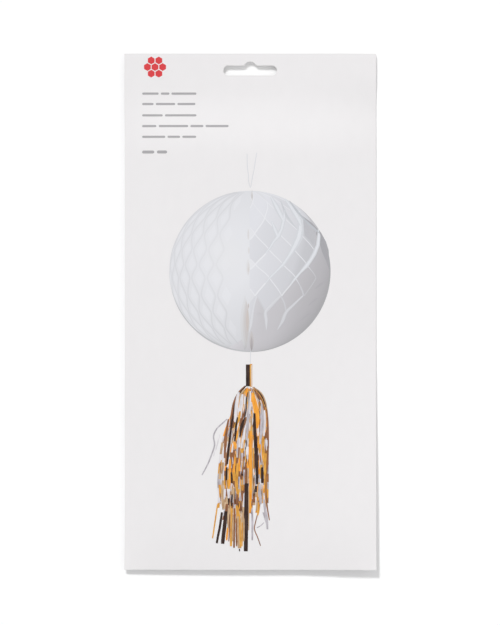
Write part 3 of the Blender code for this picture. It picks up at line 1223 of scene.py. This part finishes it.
foot_soft, foot_light = ([], []), ([], [])
for line in FOOT_LINES:
    ribbon(foot_soft, smooth_path([place(*point) for point in line]), FOOT_LINE, rank=1)
for line in FOOT_EDGES:
    path = smooth_path([place(*point) for point in line])
    ribbon(foot_soft, path, FOOT_SOFT, soft_taper, 2)
    ribbon(foot_light, path, FOOT_LIGHT, light_taper, 3)
FOOT_SHADE = shares((0.60, 1.0), (0.80, 0.93), (1.0, 0.80))
for name, kind, value, layer, shapes in (
    ("feet_soft", "foot_soft", 211, 3.6, foot_soft), ("feet", "foot_light", 221, 5, foot_light),
):
    foot_ink = ball_ink("tissue_" + kind, even(grey(value, 1.05)), FOOT_SHADE)
    lay_ink("print_leaf_" + name, shapes, layer, foot_ink)

# %% [markdown]
# At the upper right one sees more of each leaf, and the lines widen into pale faces with
# thin shadows beside them. Each is a band through points that carry their own width, and it
# takes the place of the bold line there. A pale face is laid twice, the second time narrower
# and brighter, so that its sides look soft.

# %% Band helper
BAND_STEP = 2.0


def band(shapes, points, part=1.0, rank=0):
    """A strip with straight runs between points of the photograph and a width at each."""
    path = []
    for (x1, y1, w1), (x2, y2, w2) in zip(points, points[1:]):
        count = max(1, round(math.dist((x1, y1), (x2, y2)) / BAND_STEP))
        for k in range(count):
            width = w1 + (w2 - w1) * k / count
            path.append((x1 + (x2 - x1) * k / count, y1 + (y2 - y1) * k / count, width))
    path.append(points[-1])
    spine = [place(x, y) for x, y, _ in path]
    widths = [width * part * PIXEL for _, _, width in path]
    ribbon(shapes, spine, 1.0, lambda t: widths[round(t * (len(widths) - 1))], rank)


def lay_bands(name, lines, colour, layer, part=1.0):
    shapes = ([], [])
    for rank, points in enumerate(lines):
        band(shapes, points, part, rank)
    ink = plain_ink("tissue_" + name, screen(*colour))
    lay_ink("print_" + name, shapes, layer, ink)


# %% Pale faces at the upper right
PALE_FACES = [
    [(318.0, 229, 0.6), (318.8, 236, 3.6), (317.8, 245, 4.2), (314.4, 253.6, 4.6), (310.6, 260, 4.2),
     (306.2, 266, 4.6), (300.4, 272.4, 2.4), (294.6, 279.2, 2.6), (290.2, 285, 1.4)],
    [(298.8, 211, 3.0), (300.6, 221, 5.6), (300.2, 230, 7.4), (298.6, 238, 8.6), (295.2, 245, 7.6),
     (292.0, 251, 6.0), (288.2, 257, 3.8), (282.9, 264.6, 4.4), (276.8, 270.8, 2.4), (269.6, 278, 2.6),
     (265.4, 283.2, 1.2)],
    [(284.6, 209, 2.0), (284, 219, 4.6), (281.6, 229, 4.2), (278.4, 236, 5.6), (273.4, 242, 3.4),
     (269.6, 248.4, 3.0), (265.5, 253.4, 1.6)],
    [(271.0, 197, 2.0), (276.6, 207, 6.4), (281.2, 216, 5.6), (283.2, 221, 2.0)],
    [(271.6, 221, 1.0), (274.6, 229, 5.0), (277.6, 236, 4.6)],
    [(285.0, 199, 1.6), (291.0, 207, 5.4), (295.6, 214, 6.6), (299.4, 221, 5.6), (301.0, 226, 2.0)],
]
lay_bands("face_soft", PALE_FACES, (213, 215, 220), 5.2, part=0.9)
lay_bands("face_bright", PALE_FACES, (225, 227, 232), 5.4, part=0.4)

# %% Shadows at the upper right
SHADOWS = {
    "rim": ((166, 165, 170), 4.6, [
        [(301, 215.4, 0.6), (311.0, 224.6, 3.4), (318.8, 234.0, 5.0), (322.8, 243, 6.6), (325.2, 251, 6.8),
         (327.4, 260, 3.4), (329.0, 269, 0.6)]]),
    "streak": ((174, 172, 177), 4.6, [
        [(327.4, 280.4, 1.0), (320.6, 284.2, 2.4), (314.6, 289.2, 0.3)],
        [(324.0, 296.0, 0.8), (315.6, 299.4, 1.8), (308.0, 305.6, 0.3)],
        [(316.0, 310.6, 0.8), (307.6, 314.6, 1.8), (300.0, 321.0, 0.3)]]),
    "cell": ((190, 190, 195), 5, [
        [(303.6, 220.0, 1.0), (307.0, 226.0, 7.4), (310.4, 233.6, 12.6), (312.4, 240.0, 5.0),
         (313.0, 245.0, 0.6)]]),
    "line": ((190, 193, 199), 5.6, [
        [(289.4, 201.0, 0.8), (296.0, 210.0, 1.8), (301.4, 216.4, 1.8), (306.0, 221.4, 1.8),
         (314.0, 228.4, 1.8), (319.4, 233.4, 0.8)]]),
    "soft": ((205, 207, 212), 5.6, [
        [(280.6, 201.0, 0.8), (284.0, 210.0, 1.9), (286.8, 216.4, 2.2), (291.0, 222.0, 1.6),
         (297.0, 229.0, 0.4)]]),
}
for name, (colour, layer, lines) in SHADOWS.items():
    lay_bands("shadow_" + name, lines, colour, layer)


# %% [markdown]
# ### The seam, the rim and the thread
#
# The first and last leaf meet in a seam down the middle. A cord and a dab of glue show in
# its gaps as small warm or dark marks, and the loop that the ball hangs by comes out at the
# top. A mark is a leaf shape that is laid in several tints of the paper's tone, from a wide
# pale one to a narrow dark one, so that it looks soft.

# %% Seam marks
MARK_STEPS = 12
SEAM_LAYER = 2.25
SEAM_LAYER_STEP = 0.5


def seam_mark(shapes, px, py_top, py_bottom, width, rank):
    """An upright shape that is pointed at both ends, from one height to another."""
    run = py_bottom - py_top
    path = [place(px, py_top + run * step / MARK_STEPS) for step in range(MARK_STEPS + 1)]
    ribbon(shapes, path, width * PIXEL, lambda t: max(math.sin(math.pi * t), 0.02) ** 0.8, rank)


def tinted(stops, tint):
    """The same ramp, with red, green and blue each made darker by its own share."""
    return [(mark, tuple(value * part for value, part in zip(colour, tint)))
            for mark, colour in stops]


SEAM_MARKS = {
    "haze": ((0.965, 0.958, 0.95), [(245.0, 296, 350, 9.6), (248.0, 259, 276, 4.2)]),
    "soft": ((0.915, 0.892, 0.87), [(246.0, 300, 348, 6.8), (252.0, 190, 202, 1.9), (248.3, 229, 240, 1.8),
                                   (248.4, 262, 275, 2.4), (248.8, 247, 254, 1.5)]),
    "warm": ((0.865, 0.82, 0.79), [(246.6, 302, 342, 4.8), (251.6, 331, 351, 4.2), (248.4, 267, 272, 1.4)]),
    "brown": ((0.855, 0.77, 0.71), [(247.4, 309, 332, 2.8), (248.4, 303, 309, 1.3)]),
    "dark": ((0.72, 0.66, 0.66), [(251.6, 336, 351, 2.2), (248.4, 304.5, 307.5, 0.7),
                                   (252.0, 194, 199, 0.7)]),
}
for layer, (name, (tint, marks)) in enumerate(SEAM_MARKS.items()):
    shapes = ([], [])
    for rank, mark in enumerate(marks):
        seam_mark(shapes, *mark, rank)
    ink = ball_ink("seam_" + name, tinted(PALE, tint), SHADE)
    height = SEAM_LAYER + SEAM_LAYER_STEP * layer
    lay_ink("print_seam_" + name, shapes, height, ink)

# %% Rim of the ball
CRESCENT_STEPS = 72


def crescent(start, end, width):
    """A strip that lies against the rim, from one angle to another, pointed at both ends."""
    outer = arc((BALL_X, BALL_Y), BALL_RADIUS, start, end, CRESCENT_STEPS)
    grid = []
    for step, (x, y) in enumerate(outer):
        inward = width * PIXEL * max(math.sin(math.pi * step / CRESCENT_STEPS), 0.02) / BALL_RADIUS
        grid.append([(x, y), (x + (BALL_X - x) * inward, y + (BALL_Y - y) * inward)])
    shapes = ([], [])
    add_grid(shapes, grid)
    return shapes


RIM_STRIPS = {
    "shade": (4, crescent(190, 300, 1.4), 190),
    "low": (4.5, crescent(262, 392, 1.6), 168),
    "light": (4, crescent(95, 190, 0.9), 217),
}
for name, (layer, shapes, value) in RIM_STRIPS.items():
    ink = plain_ink("rim_" + name, grey(value, 1.045, 1.002))
    lay_ink("print_rim_" + name, shapes, layer, ink)

# %% Hanging loop and the thread to the tassel
THREAD_WIDTH = 0.00042
threads = ([], [])
loop_right = [(256.8, 153), (255.4, 161), (254.0, 170), (252.5, 177), (250.8, 187)]
loop_left = [(247.1, 154), (247.3, 166), (248.5, 176), (248.7, 182), (250.4, 188)]
tassel_thread = [(250.7, 351), (250.5, 357), (250.3, 364)]
for rank, line in enumerate((loop_right, loop_left, tassel_thread)):
    ribbon(threads, smooth_path([place(*point) for point in line]), THREAD_WIDTH, rank=rank)
lay_ink("print_thread", threads, 6, plain_ink("thread_ink", grey(218)))

# %% [markdown]
# ### The tassel
#
# Under the ball hangs a tassel of thin foil strips: a narrow bound head, and a skirt that
# opens from it like a bell. Every strip runs down the skirt, so a place in it is given by
# two numbers: how far it is across, from -1 at the left to 1 at the right, and how far it
# is down. Two smooth outlines turn these into a point.

# %% Flow of the skirt
LEFT_SIDE = [(386, 246.2), (390, 241.5), (394, 237.5), (398, 235.2), (404, 233.0), (416, 230.3),
             (428, 225.2), (440, 221.6), (456, 219.4), (480, 217.2), (505, 217.6), (530, 214.6),
             (556, 211.0)]
RIGHT_SIDE = [(386, 252.3), (390, 256.5), (394, 260.4), (398, 262.8), (404, 265.2), (416, 267.2),
              (428, 268.2), (440, 268.6), (456, 268.6), (480, 268.8), (505, 268.4), (530, 266.6),
              (556, 264.0)]


def side_at(side, py):
    """The outline's place at a height, read between its points."""
    py = min(max(py, side[0][0]), side[-1][0])
    for (y1, x1), (y2, x2) in zip(side, side[1:]):
        if py <= y2:
            return x1 + (x2 - x1) * (py - y1) / (y2 - y1)
    return side[-1][1]


def in_skirt(across, py):
    left, right = side_at(LEFT_SIDE, py), side_at(RIGHT_SIDE, py)
    return left + (right - left) * (across + 1) / 2


WIDEST = 440
skirt_width = (side_at(RIGHT_SIDE, WIDEST) - side_at(LEFT_SIDE, WIDEST)) * PIXEL
print("skirt", round(skirt_width * 1000, 1), "mm wide")


# %% [markdown]
# Foil catches the light in streaks. Each foil colour is two tones, mixed by a noise that is
# stretched along the strips, so that a strip glints and dims along its length. The dark foil
# has less gloss, because a gloss on so dark a tone would make it grey. The skirt is
# then a mosaic: narrow lanes side by side, each cut into pieces of random length, and each
# piece dealt to one of the colours. The draw is seeded, so it is the same at every run.
# Four parts of the skirt have palettes of their own, and five heights, in pixels of the
# photograph, say where the parts start and from where the pieces are short.

# %% Foil colours
FOIL_ROUGHNESS = 0.36


def foil_ink(name, low, high, gloss=0.5):
    material, tree, shader = new_material(name, screen(*low), FOIL_ROUGHNESS)
    shader.inputs["Specular IOR Level"].default_value = gloss
    streak = between(tree, noise(tree, (1100, 170, 1100), 3.0, 0.6), 0.0, 1.0)
    two_tone(tree, shader, streak, screen(*low), screen(*high))
    return material


FOILS = {
    "white": foil_ink("foil_white", (206, 200, 204), (240, 237, 240)),
    "silver": foil_ink("foil_silver", (152, 144, 150), (210, 205, 212)),
    "tan": foil_ink("foil_tan", (164, 126, 88), (214, 184, 148)),
    "gold": foil_ink("foil_gold", (190, 124, 34), (238, 178, 74)),
    "orange": foil_ink("foil_orange", (232, 140, 26), (252, 180, 66)),
    "brown": foil_ink("foil_brown", (98, 58, 34), (156, 98, 56)),
    "dark": foil_ink("foil_dark", (38, 26, 23), (72, 55, 50), gloss=0.15),
}
print("foil colours:", ", ".join(FOILS))

# %% Lanes of the skirt
LANES = 30
LEFT_LANES = 4
STRIP_STEP = 3.0
SKIRT_TOP = 386.5
LOOSE_TOP = 436
LOWER_TOP = 432
SHORT_TOP = 470
FOOT_TOP = 496
PALETTES = {
    "upper": {"white": 5, "silver": 4, "tan": 6, "gold": 7, "orange": 2, "brown": 5, "dark": 1},
    "lower": {"white": 5, "silver": 4, "tan": 6, "gold": 7, "orange": 4, "brown": 7, "dark": 1},
    "left": {"white": 6, "silver": 3, "tan": 7, "gold": 2},
    "foot": {"white": 2, "silver": 4, "tan": 6, "gold": 5, "brown": 7, "dark": 2},
}
strips = {name: ([], []) for name in FOILS}


def lane_edge(lane, py):
    """Lanes swerve a little, and two neighbours share their edge."""
    swerve = 0.0 if lane in (0, LANES) else 0.022 * math.sin(py * 0.11 + lane * 2.4)
    return 2 * lane / LANES - 1 + swerve


def lane_foot(across):
    """The strips end at odd heights. On the right they end higher, in loose wisps."""
    ragged = 6 * math.sin(across * 23.0) + 4 * math.sin(across * 57.0 + 1.0)
    if across < -0.7:
        return 506 + 0.4 * ragged
    return (521 if across < 0.25 else 506) + ragged


def part_of_skirt(lane, py):
    if lane < LEFT_LANES and py > LOOSE_TOP:
        return "left"
    if py < LOWER_TOP:
        return "upper"
    return "lower" if py < FOOT_TOP else "foot"


def add_strip(colour, left_of, right_of, top, bottom, rank=0):
    """A piece of a lane between two edges, each a function of the height."""
    count = max(1, round((bottom - top) / STRIP_STEP))
    grid = []
    for index in range(count + 1):
        py = top + (bottom - top) * index / count
        grid.append([place(left_of(py), py), place(right_of(py), py)])
    add_grid(strips[colour], grid, rank=rank)


print("a lane is", round(skirt_width / LANES * 1000, 2), "mm wide")


# %% Mosaic of foil
random.seed(17)
for lane in range(LANES):
    foot = lane_foot(2 * (lane + 0.5) / LANES - 1)
    py = SKIRT_TOP + random.uniform(0.0, 3.0)
    last = None
    while py < foot:
        end = min(py + random.uniform(4.0, 24.0 if py < SHORT_TOP else 15.0), foot)
        palette = PALETTES[part_of_skirt(lane, py)]
        choice = {name: count for name, count in palette.items() if name != last}
        colour = random.choices(list(choice), choice.values())[0]
        add_strip(
            colour,
            lambda y, lane=lane: in_skirt(lane_edge(lane, y), y),
            lambda y, lane=lane: in_skirt(lane_edge(lane + 1, y), y),
            py, end,
        )
        last = colour
        py = end
print(LANES, "lanes,", sum(len(faces) for _, faces in strips.values()), "faces")

# %% [markdown]
# On the mosaic lie the strips that stand out. They are placed one by one, by the points that
# they pass through, from the top down. A few fine glints go over them last.

# %% Strips that stand out
def lay_strip(colour, width, points, rank, ends=0.0):
    """A strip through the given points. With ends at 1 it tapers to a point at both ends."""
    path = smooth_path([place(*point) for point in points])

    def taper(t):
        return 1.0 - ends + ends * max(math.sin(math.pi * min(max(t, 0.02), 0.98)), 0.05) ** 0.5

    ribbon(strips[colour], path, width * PIXEL, taper, rank)


STANDOUT = [
    ("brown", 2.6, [(245.4, 386), (240.6, 390.6), (237.0, 396), (233.8, 404), (231.6, 416),
                    (230.2, 427)], 0.5),
    ("dark", 1.3, [(246.2, 385.6), (241.4, 390.8), (237.9, 396.4), (235.0, 404), (232.8, 416), (231.2, 427),
                   (229.6, 441), (228.2, 452), (227.2, 463)], 0.3),
    ("dark", 2.2, [(232.2, 419), (230.8, 430), (229.2, 444), (227.9, 456), (227.2, 464)], 0.4),
    ("dark", 2.0, [(226.8, 467), (226.6, 474), (226.4, 480)], 0.2),
    ("brown", 2.4, [(228.6, 419), (226.8, 430), (225.4, 444), (224.6, 458)], 0.5),
    ("white", 3.6, [(238.6, 392), (237.0, 402), (236.0, 412), (235.2, 422)], 0.6),
    ("white", 3.8, [(242.6, 394), (241.4, 402), (240.6, 410), (240.2, 418)], 0.7),
    ("gold", 2.6, [(240.2, 411), (239.2, 417), (237.8, 423)], 0.7),
    ("dark", 2.2, [(237.6, 417), (236.2, 425), (235.6, 433), (234.8, 441)], 0.6),
    ("orange", 2.8, [(234.6, 441.5), (235.4, 445), (235.8, 449)], 0.7),
    ("orange", 2.8, [(247.6, 388), (246.8, 392), (246.6, 397)], 0.7),
    ("dark", 1.3, [(248.0, 392), (246.4, 400), (246.0, 410), (244.6, 418), (242.8, 424)], 0.5),
    ("dark", 2.8, [(244.2, 419), (242.2, 424), (240.8, 430), (240.0, 437)], 0.8),
    ("silver", 3.0, [(250.0, 391), (249.6, 402), (248.4, 414), (247.6, 426), (246.6, 440)], 0.6),
    ("white", 1.4, [(250.6, 391), (250.3, 402), (249.6, 414)], 0.6),
    ("orange", 5.2, [(252.4, 392.5), (254.0, 400), (255.6, 408), (257.2, 417), (257.2, 428)], 0.8),
    ("dark", 3.4, [(254.4, 413), (254.6, 424), (255.2, 438), (256.2, 452), (256.8, 468),
                   (257.0, 484)], 0.5),
    ("orange", 3.6, [(251.2, 431), (250.8, 446), (250.6, 462), (250.8, 478), (250.4, 501)], 0.5),
    ("tan", 0.8, [(252.4, 436), (252.2, 450), (252.6, 470), (252.0, 490)], 0.5),
    ("silver", 3.4, [(261.6, 404), (262.2, 416), (261.4, 430), (260.2, 444)], 0.7),
    ("white", 2.4, [(264.4, 410), (264.8, 422), (263.8, 436)], 0.7),
    ("gold", 3.0, [(262.4, 438), (263.6, 452), (265.2, 468), (265.8, 486), (266.4, 503)], 0.5),
    ("brown", 1.4, [(253.6, 387), (258.8, 391.6), (263.2, 397), (265.8, 404), (267.4, 416), (268.2, 430),
                    (268.4, 448)], 0.4),
    ("brown", 1.2, [(254.0, 389.5), (258.4, 394.4), (261.8, 400.4), (264.0, 407)], 0.6),
    ("dark", 1.0, [(256.0, 388.4), (260.4, 393.6), (263.4, 400), (265.6, 407)], 0.6),
    ("tan", 1.2, [(255.0, 388.0), (261.0, 392.6), (265.0, 400.4), (266.8, 409)], 0.6),
    ("brown", 2.0, [(268.0, 446), (267.6, 458), (266.8, 470)], 0.5),
    ("dark", 2.8, [(262.0, 467), (262.2, 475), (262.2, 483)], 0.3),
    ("silver", 2.8, [(259.6, 484), (260.0, 494), (260.6, 504)], 0.4),
    ("tan", 1.2, [(262.0, 484), (262.4, 494), (262.0, 503)], 0.5),
    ("brown", 1.4, [(268.2, 462), (266.2, 478), (266.0, 494), (267.4, 508), (269.4, 520)], 0.4),
    ("silver", 2.6, [(263.6, 499), (265.2, 510), (266.8, 520), (267.4, 529)], 0.5),
    ("orange", 2.4, [(230.0, 459), (230.0, 470), (229.6, 486)], 0.5),
    ("dark", 2.2, [(231.4, 472), (231.8, 478), (231.8, 483)], 0.4),
    ("dark", 2.0, [(232.2, 494), (231.8, 500), (231.6, 506)], 0.5),
    ("gold", 3.0, [(237.6, 463), (237.2, 471), (236.4, 482), (237.6, 494)], 0.6),
    ("tan", 2.4, [(222.8, 480), (222.4, 492), (222.8, 507)], 0.5),
    ("brown", 2.0, [(245.6, 462), (246.2, 474), (246.4, 486)], 0.5),
    ("orange", 2.4, [(249.8, 500), (250.2, 507), (249.6, 513)], 0.4),
    ("gold", 3.2, [(236.4, 505), (237.8, 514), (236.8, 524)], 0.5),
    ("dark", 4.2, [(246.8, 483), (246.4, 500), (246.2, 518), (246.0, 534), (245.8, 551)], 0.1),
    ("tan", 1.0, [(248.8, 486), (248.8, 506), (248.8, 530)], 0.4),
    ("gold", 1.4, [(217.6, 504), (215.6, 518), (213.8, 530), (212.6, 538)], 0.3),
    ("dark", 2.4, [(222.0, 512), (220.0, 526), (218.0, 536), (216.8, 543)], 0.2),
    ("dark", 3.8, [(226.2, 511), (225.0, 522), (223.6, 534), (222.6, 543.5)], 0.15),
    ("orange", 2.0, [(227.8, 527), (227.2, 533), (226.6, 540)], 0.3),
    ("gold", 2.6, [(231.6, 508), (231.6, 524), (231.2, 536), (231.0, 546)], 0.3),
    ("brown", 2.0, [(234.6, 508), (234.4, 524), (234.2, 536), (234.0, 547.5)], 0.3),
    ("tan", 3.4, [(229.2, 508), (229.0, 518), (228.8, 528)], 0.6),
    ("tan", 4.8, [(238.8, 516), (239.2, 528), (239.4, 538), (239.6, 548)], 0.4),
    ("gold", 1.8, [(239.6, 514), (240.0, 528), (240.6, 547)], 0.4),
    ("tan", 3.0, [(242.4, 512), (242.4, 524), (242.4, 540)], 0.5),
    ("brown", 1.6, [(236.6, 518), (236.4, 534), (236.6, 546)], 0.4),
    ("tan", 2.0, [(232.9, 516), (232.8, 530), (232.6, 541)], 0.4),
    ("gold", 1.4, [(242.2, 522), (242.2, 536), (242.0, 546)], 0.4),
    ("brown", 1.2, [(229.8, 514), (229.4, 530), (228.8, 541)], 0.4),
    ("tan", 1.8, [(243.8, 518), (243.8, 532), (243.6, 541)], 0.4),
    ("dark", 1.4, [(239.4, 548.5), (239.6, 551)], 0.6),
    ("silver", 2.0, [(252.0, 508), (252.4, 524), (252.2, 540)], 0.5),
    ("brown", 1.0, [(258.0, 512), (256.0, 520), (254.4, 528.6), (257.6, 537), (260.6, 545.6)], 0.3),
    ("gold", 2.2, [(258.6, 502), (258.6, 509), (257.6, 515)], 0.5),
    ("silver", 0.9, [(256.8, 527.4), (260.4, 525.6), (264.0, 522.2)], 0.4),
    ("silver", 1.4, [(263.0, 512), (264.8, 517.4), (266.6, 523.6)], 0.4),
    ("silver", 1.5, [(227.0, 419), (222.0, 423.6), (216.8, 428.6), (213.6, 436), (214.6, 445), (211.4, 455),
                     (207.6, 464.4), (202.0, 474.8)], 0.3),
    ("white", 1.2, [(220.0, 434), (216.8, 446), (213.6, 456)], 0.6),
]
STANDOUT_RANK = 14
for rank, (colour, width, points, ends) in enumerate(STANDOUT):
    lay_strip(colour, width, points, STANDOUT_RANK + rank, ends)
print(len(STANDOUT), "strips placed by hand")

# %% Fine glints
GLINTS = 210
GLINT_COLOURS = ["white", "brown", "silver", "brown", "tan", "dark", "gold", "brown", "white",
                 "orange", "dark"]
GLINT_RANKS = 12
for index in range(GLINTS):
    across = random.uniform(-0.95, 0.92)
    top = random.uniform(394, 512)
    bottom = min(top + random.uniform(4, 16), lane_foot(across) + 2)
    drift = random.uniform(-0.05, 0.05)
    points = []
    for t in (0.0, 0.35, 0.7, 1.0):
        py = top + (bottom - top) * t
        points.append((in_skirt(across + drift * t, py), py))
    width = random.uniform(0.4, 1.1)
    if bottom - top > 3:
        colour = GLINT_COLOURS[index % len(GLINT_COLOURS)]
        lay_strip(colour, width, points, 1 + index % GLINT_RANKS, 0.8)
print(GLINTS, "glints drawn, the very short ones left out")

# %% Bound head of the tassel
HEAD_STRIPS = [
    ("dark", 245.9, 249.9, 364.4, 386.2, 75),
    ("gold", 249.9, 252.2, 363.9, 386.6, 75),
    ("white", 251.1, 251.7, 365.0, 386.0, 76),
]
for colour, left, right, top, bottom, rank in HEAD_STRIPS:
    add_strip(colour, lambda y, left=left: left, lambda y, right=right: right, top, bottom, rank)
for name, shapes in strips.items():
    lay_ink("print_tassel_" + name, shapes, 0, FOILS[name])

# %% [markdown]
# ### The small print
#
# Such a card has a few lines of small print in a corner. Plain grey bars with round ends take
# the place of words, as in a layout before its text is set. Over them stands a patch of seven
# small hexagons, after the honeycomb.

# %% Bars in place of words
BAR_ROUND = 8


def bar(shapes, left, right, py, height):
    """A level bar with round ends."""
    half = height / 2
    count = max(2, round((right - left) / 3))
    grid = []
    for index in range(BAR_ROUND + 1):
        angle = math.pi * index / BAR_ROUND
        reach = half * math.cos(angle)
        inward = half * (1 - math.sin(angle))
        start, end = left + inward, right - inward
        grid.append([place(start + (end - start) * part / count, py + reach)
                     for part in range(count + 1)])
    add_grid(shapes, grid)


WORDS = [
    (93.6, 2.2, [(142.2, 158.6), (160.8, 169.4), (171.4, 196.4)]),
    (104.0, 2.2, [(142.2, 153.6), (155.8, 175.2), (177.4, 195.4)]),
    (115.4, 2.2, [(142.2, 162.8), (165.0, 196.4)]),
    (126.2, 2.2, [(142.2, 156.4), (158.8, 188.2), (190.4, 203.4), (205.6, 228.6)]),
    (137.0, 2.2, [(142.2, 165.4), (167.6, 180.2), (182.4, 196.2)]),
    (152.2, 3.0, [(142.2, 154.4), (157.0, 167.2)]),
]
bars = ([], [])
for py, height, spans in WORDS:
    for left, right in spans:
        bar(bars, left, right, py, height)
word_grey = plain_ink("word_grey", screen(168, 166, 168), 0.45)
lay_ink("print_word_bars", bars, 0, word_grey)

# %% Hexagon patch
HEXAGON_MIDDLE = (155.0, 67.0)
HEXAGON_REACH = 3.9
HEXAGON_STEP = 7.6


def round_from(centre, reach, turn):
    """The six points round a centre, with the first one turned by some degrees."""
    cx, cy = centre
    angles = [math.radians(turn + 60 * k) for k in range(6)]
    return [(cx + reach * math.cos(angle), cy + reach * math.sin(angle)) for angle in angles]


patch = ([], [])
for centre in [HEXAGON_MIDDLE] + round_from(HEXAGON_MIDDLE, HEXAGON_STEP, 0):
    corners = [place(*corner) for corner in round_from(centre, HEXAGON_REACH, 30)]
    add_grid(patch, [[corners[2], corners[1], corners[0]], [corners[3], corners[4], corners[5]]])
hexagon_red = plain_ink("hexagon_red", screen(214, 54, 60))
lay_ink("print_hexagons", patch, 0, hexagon_red)
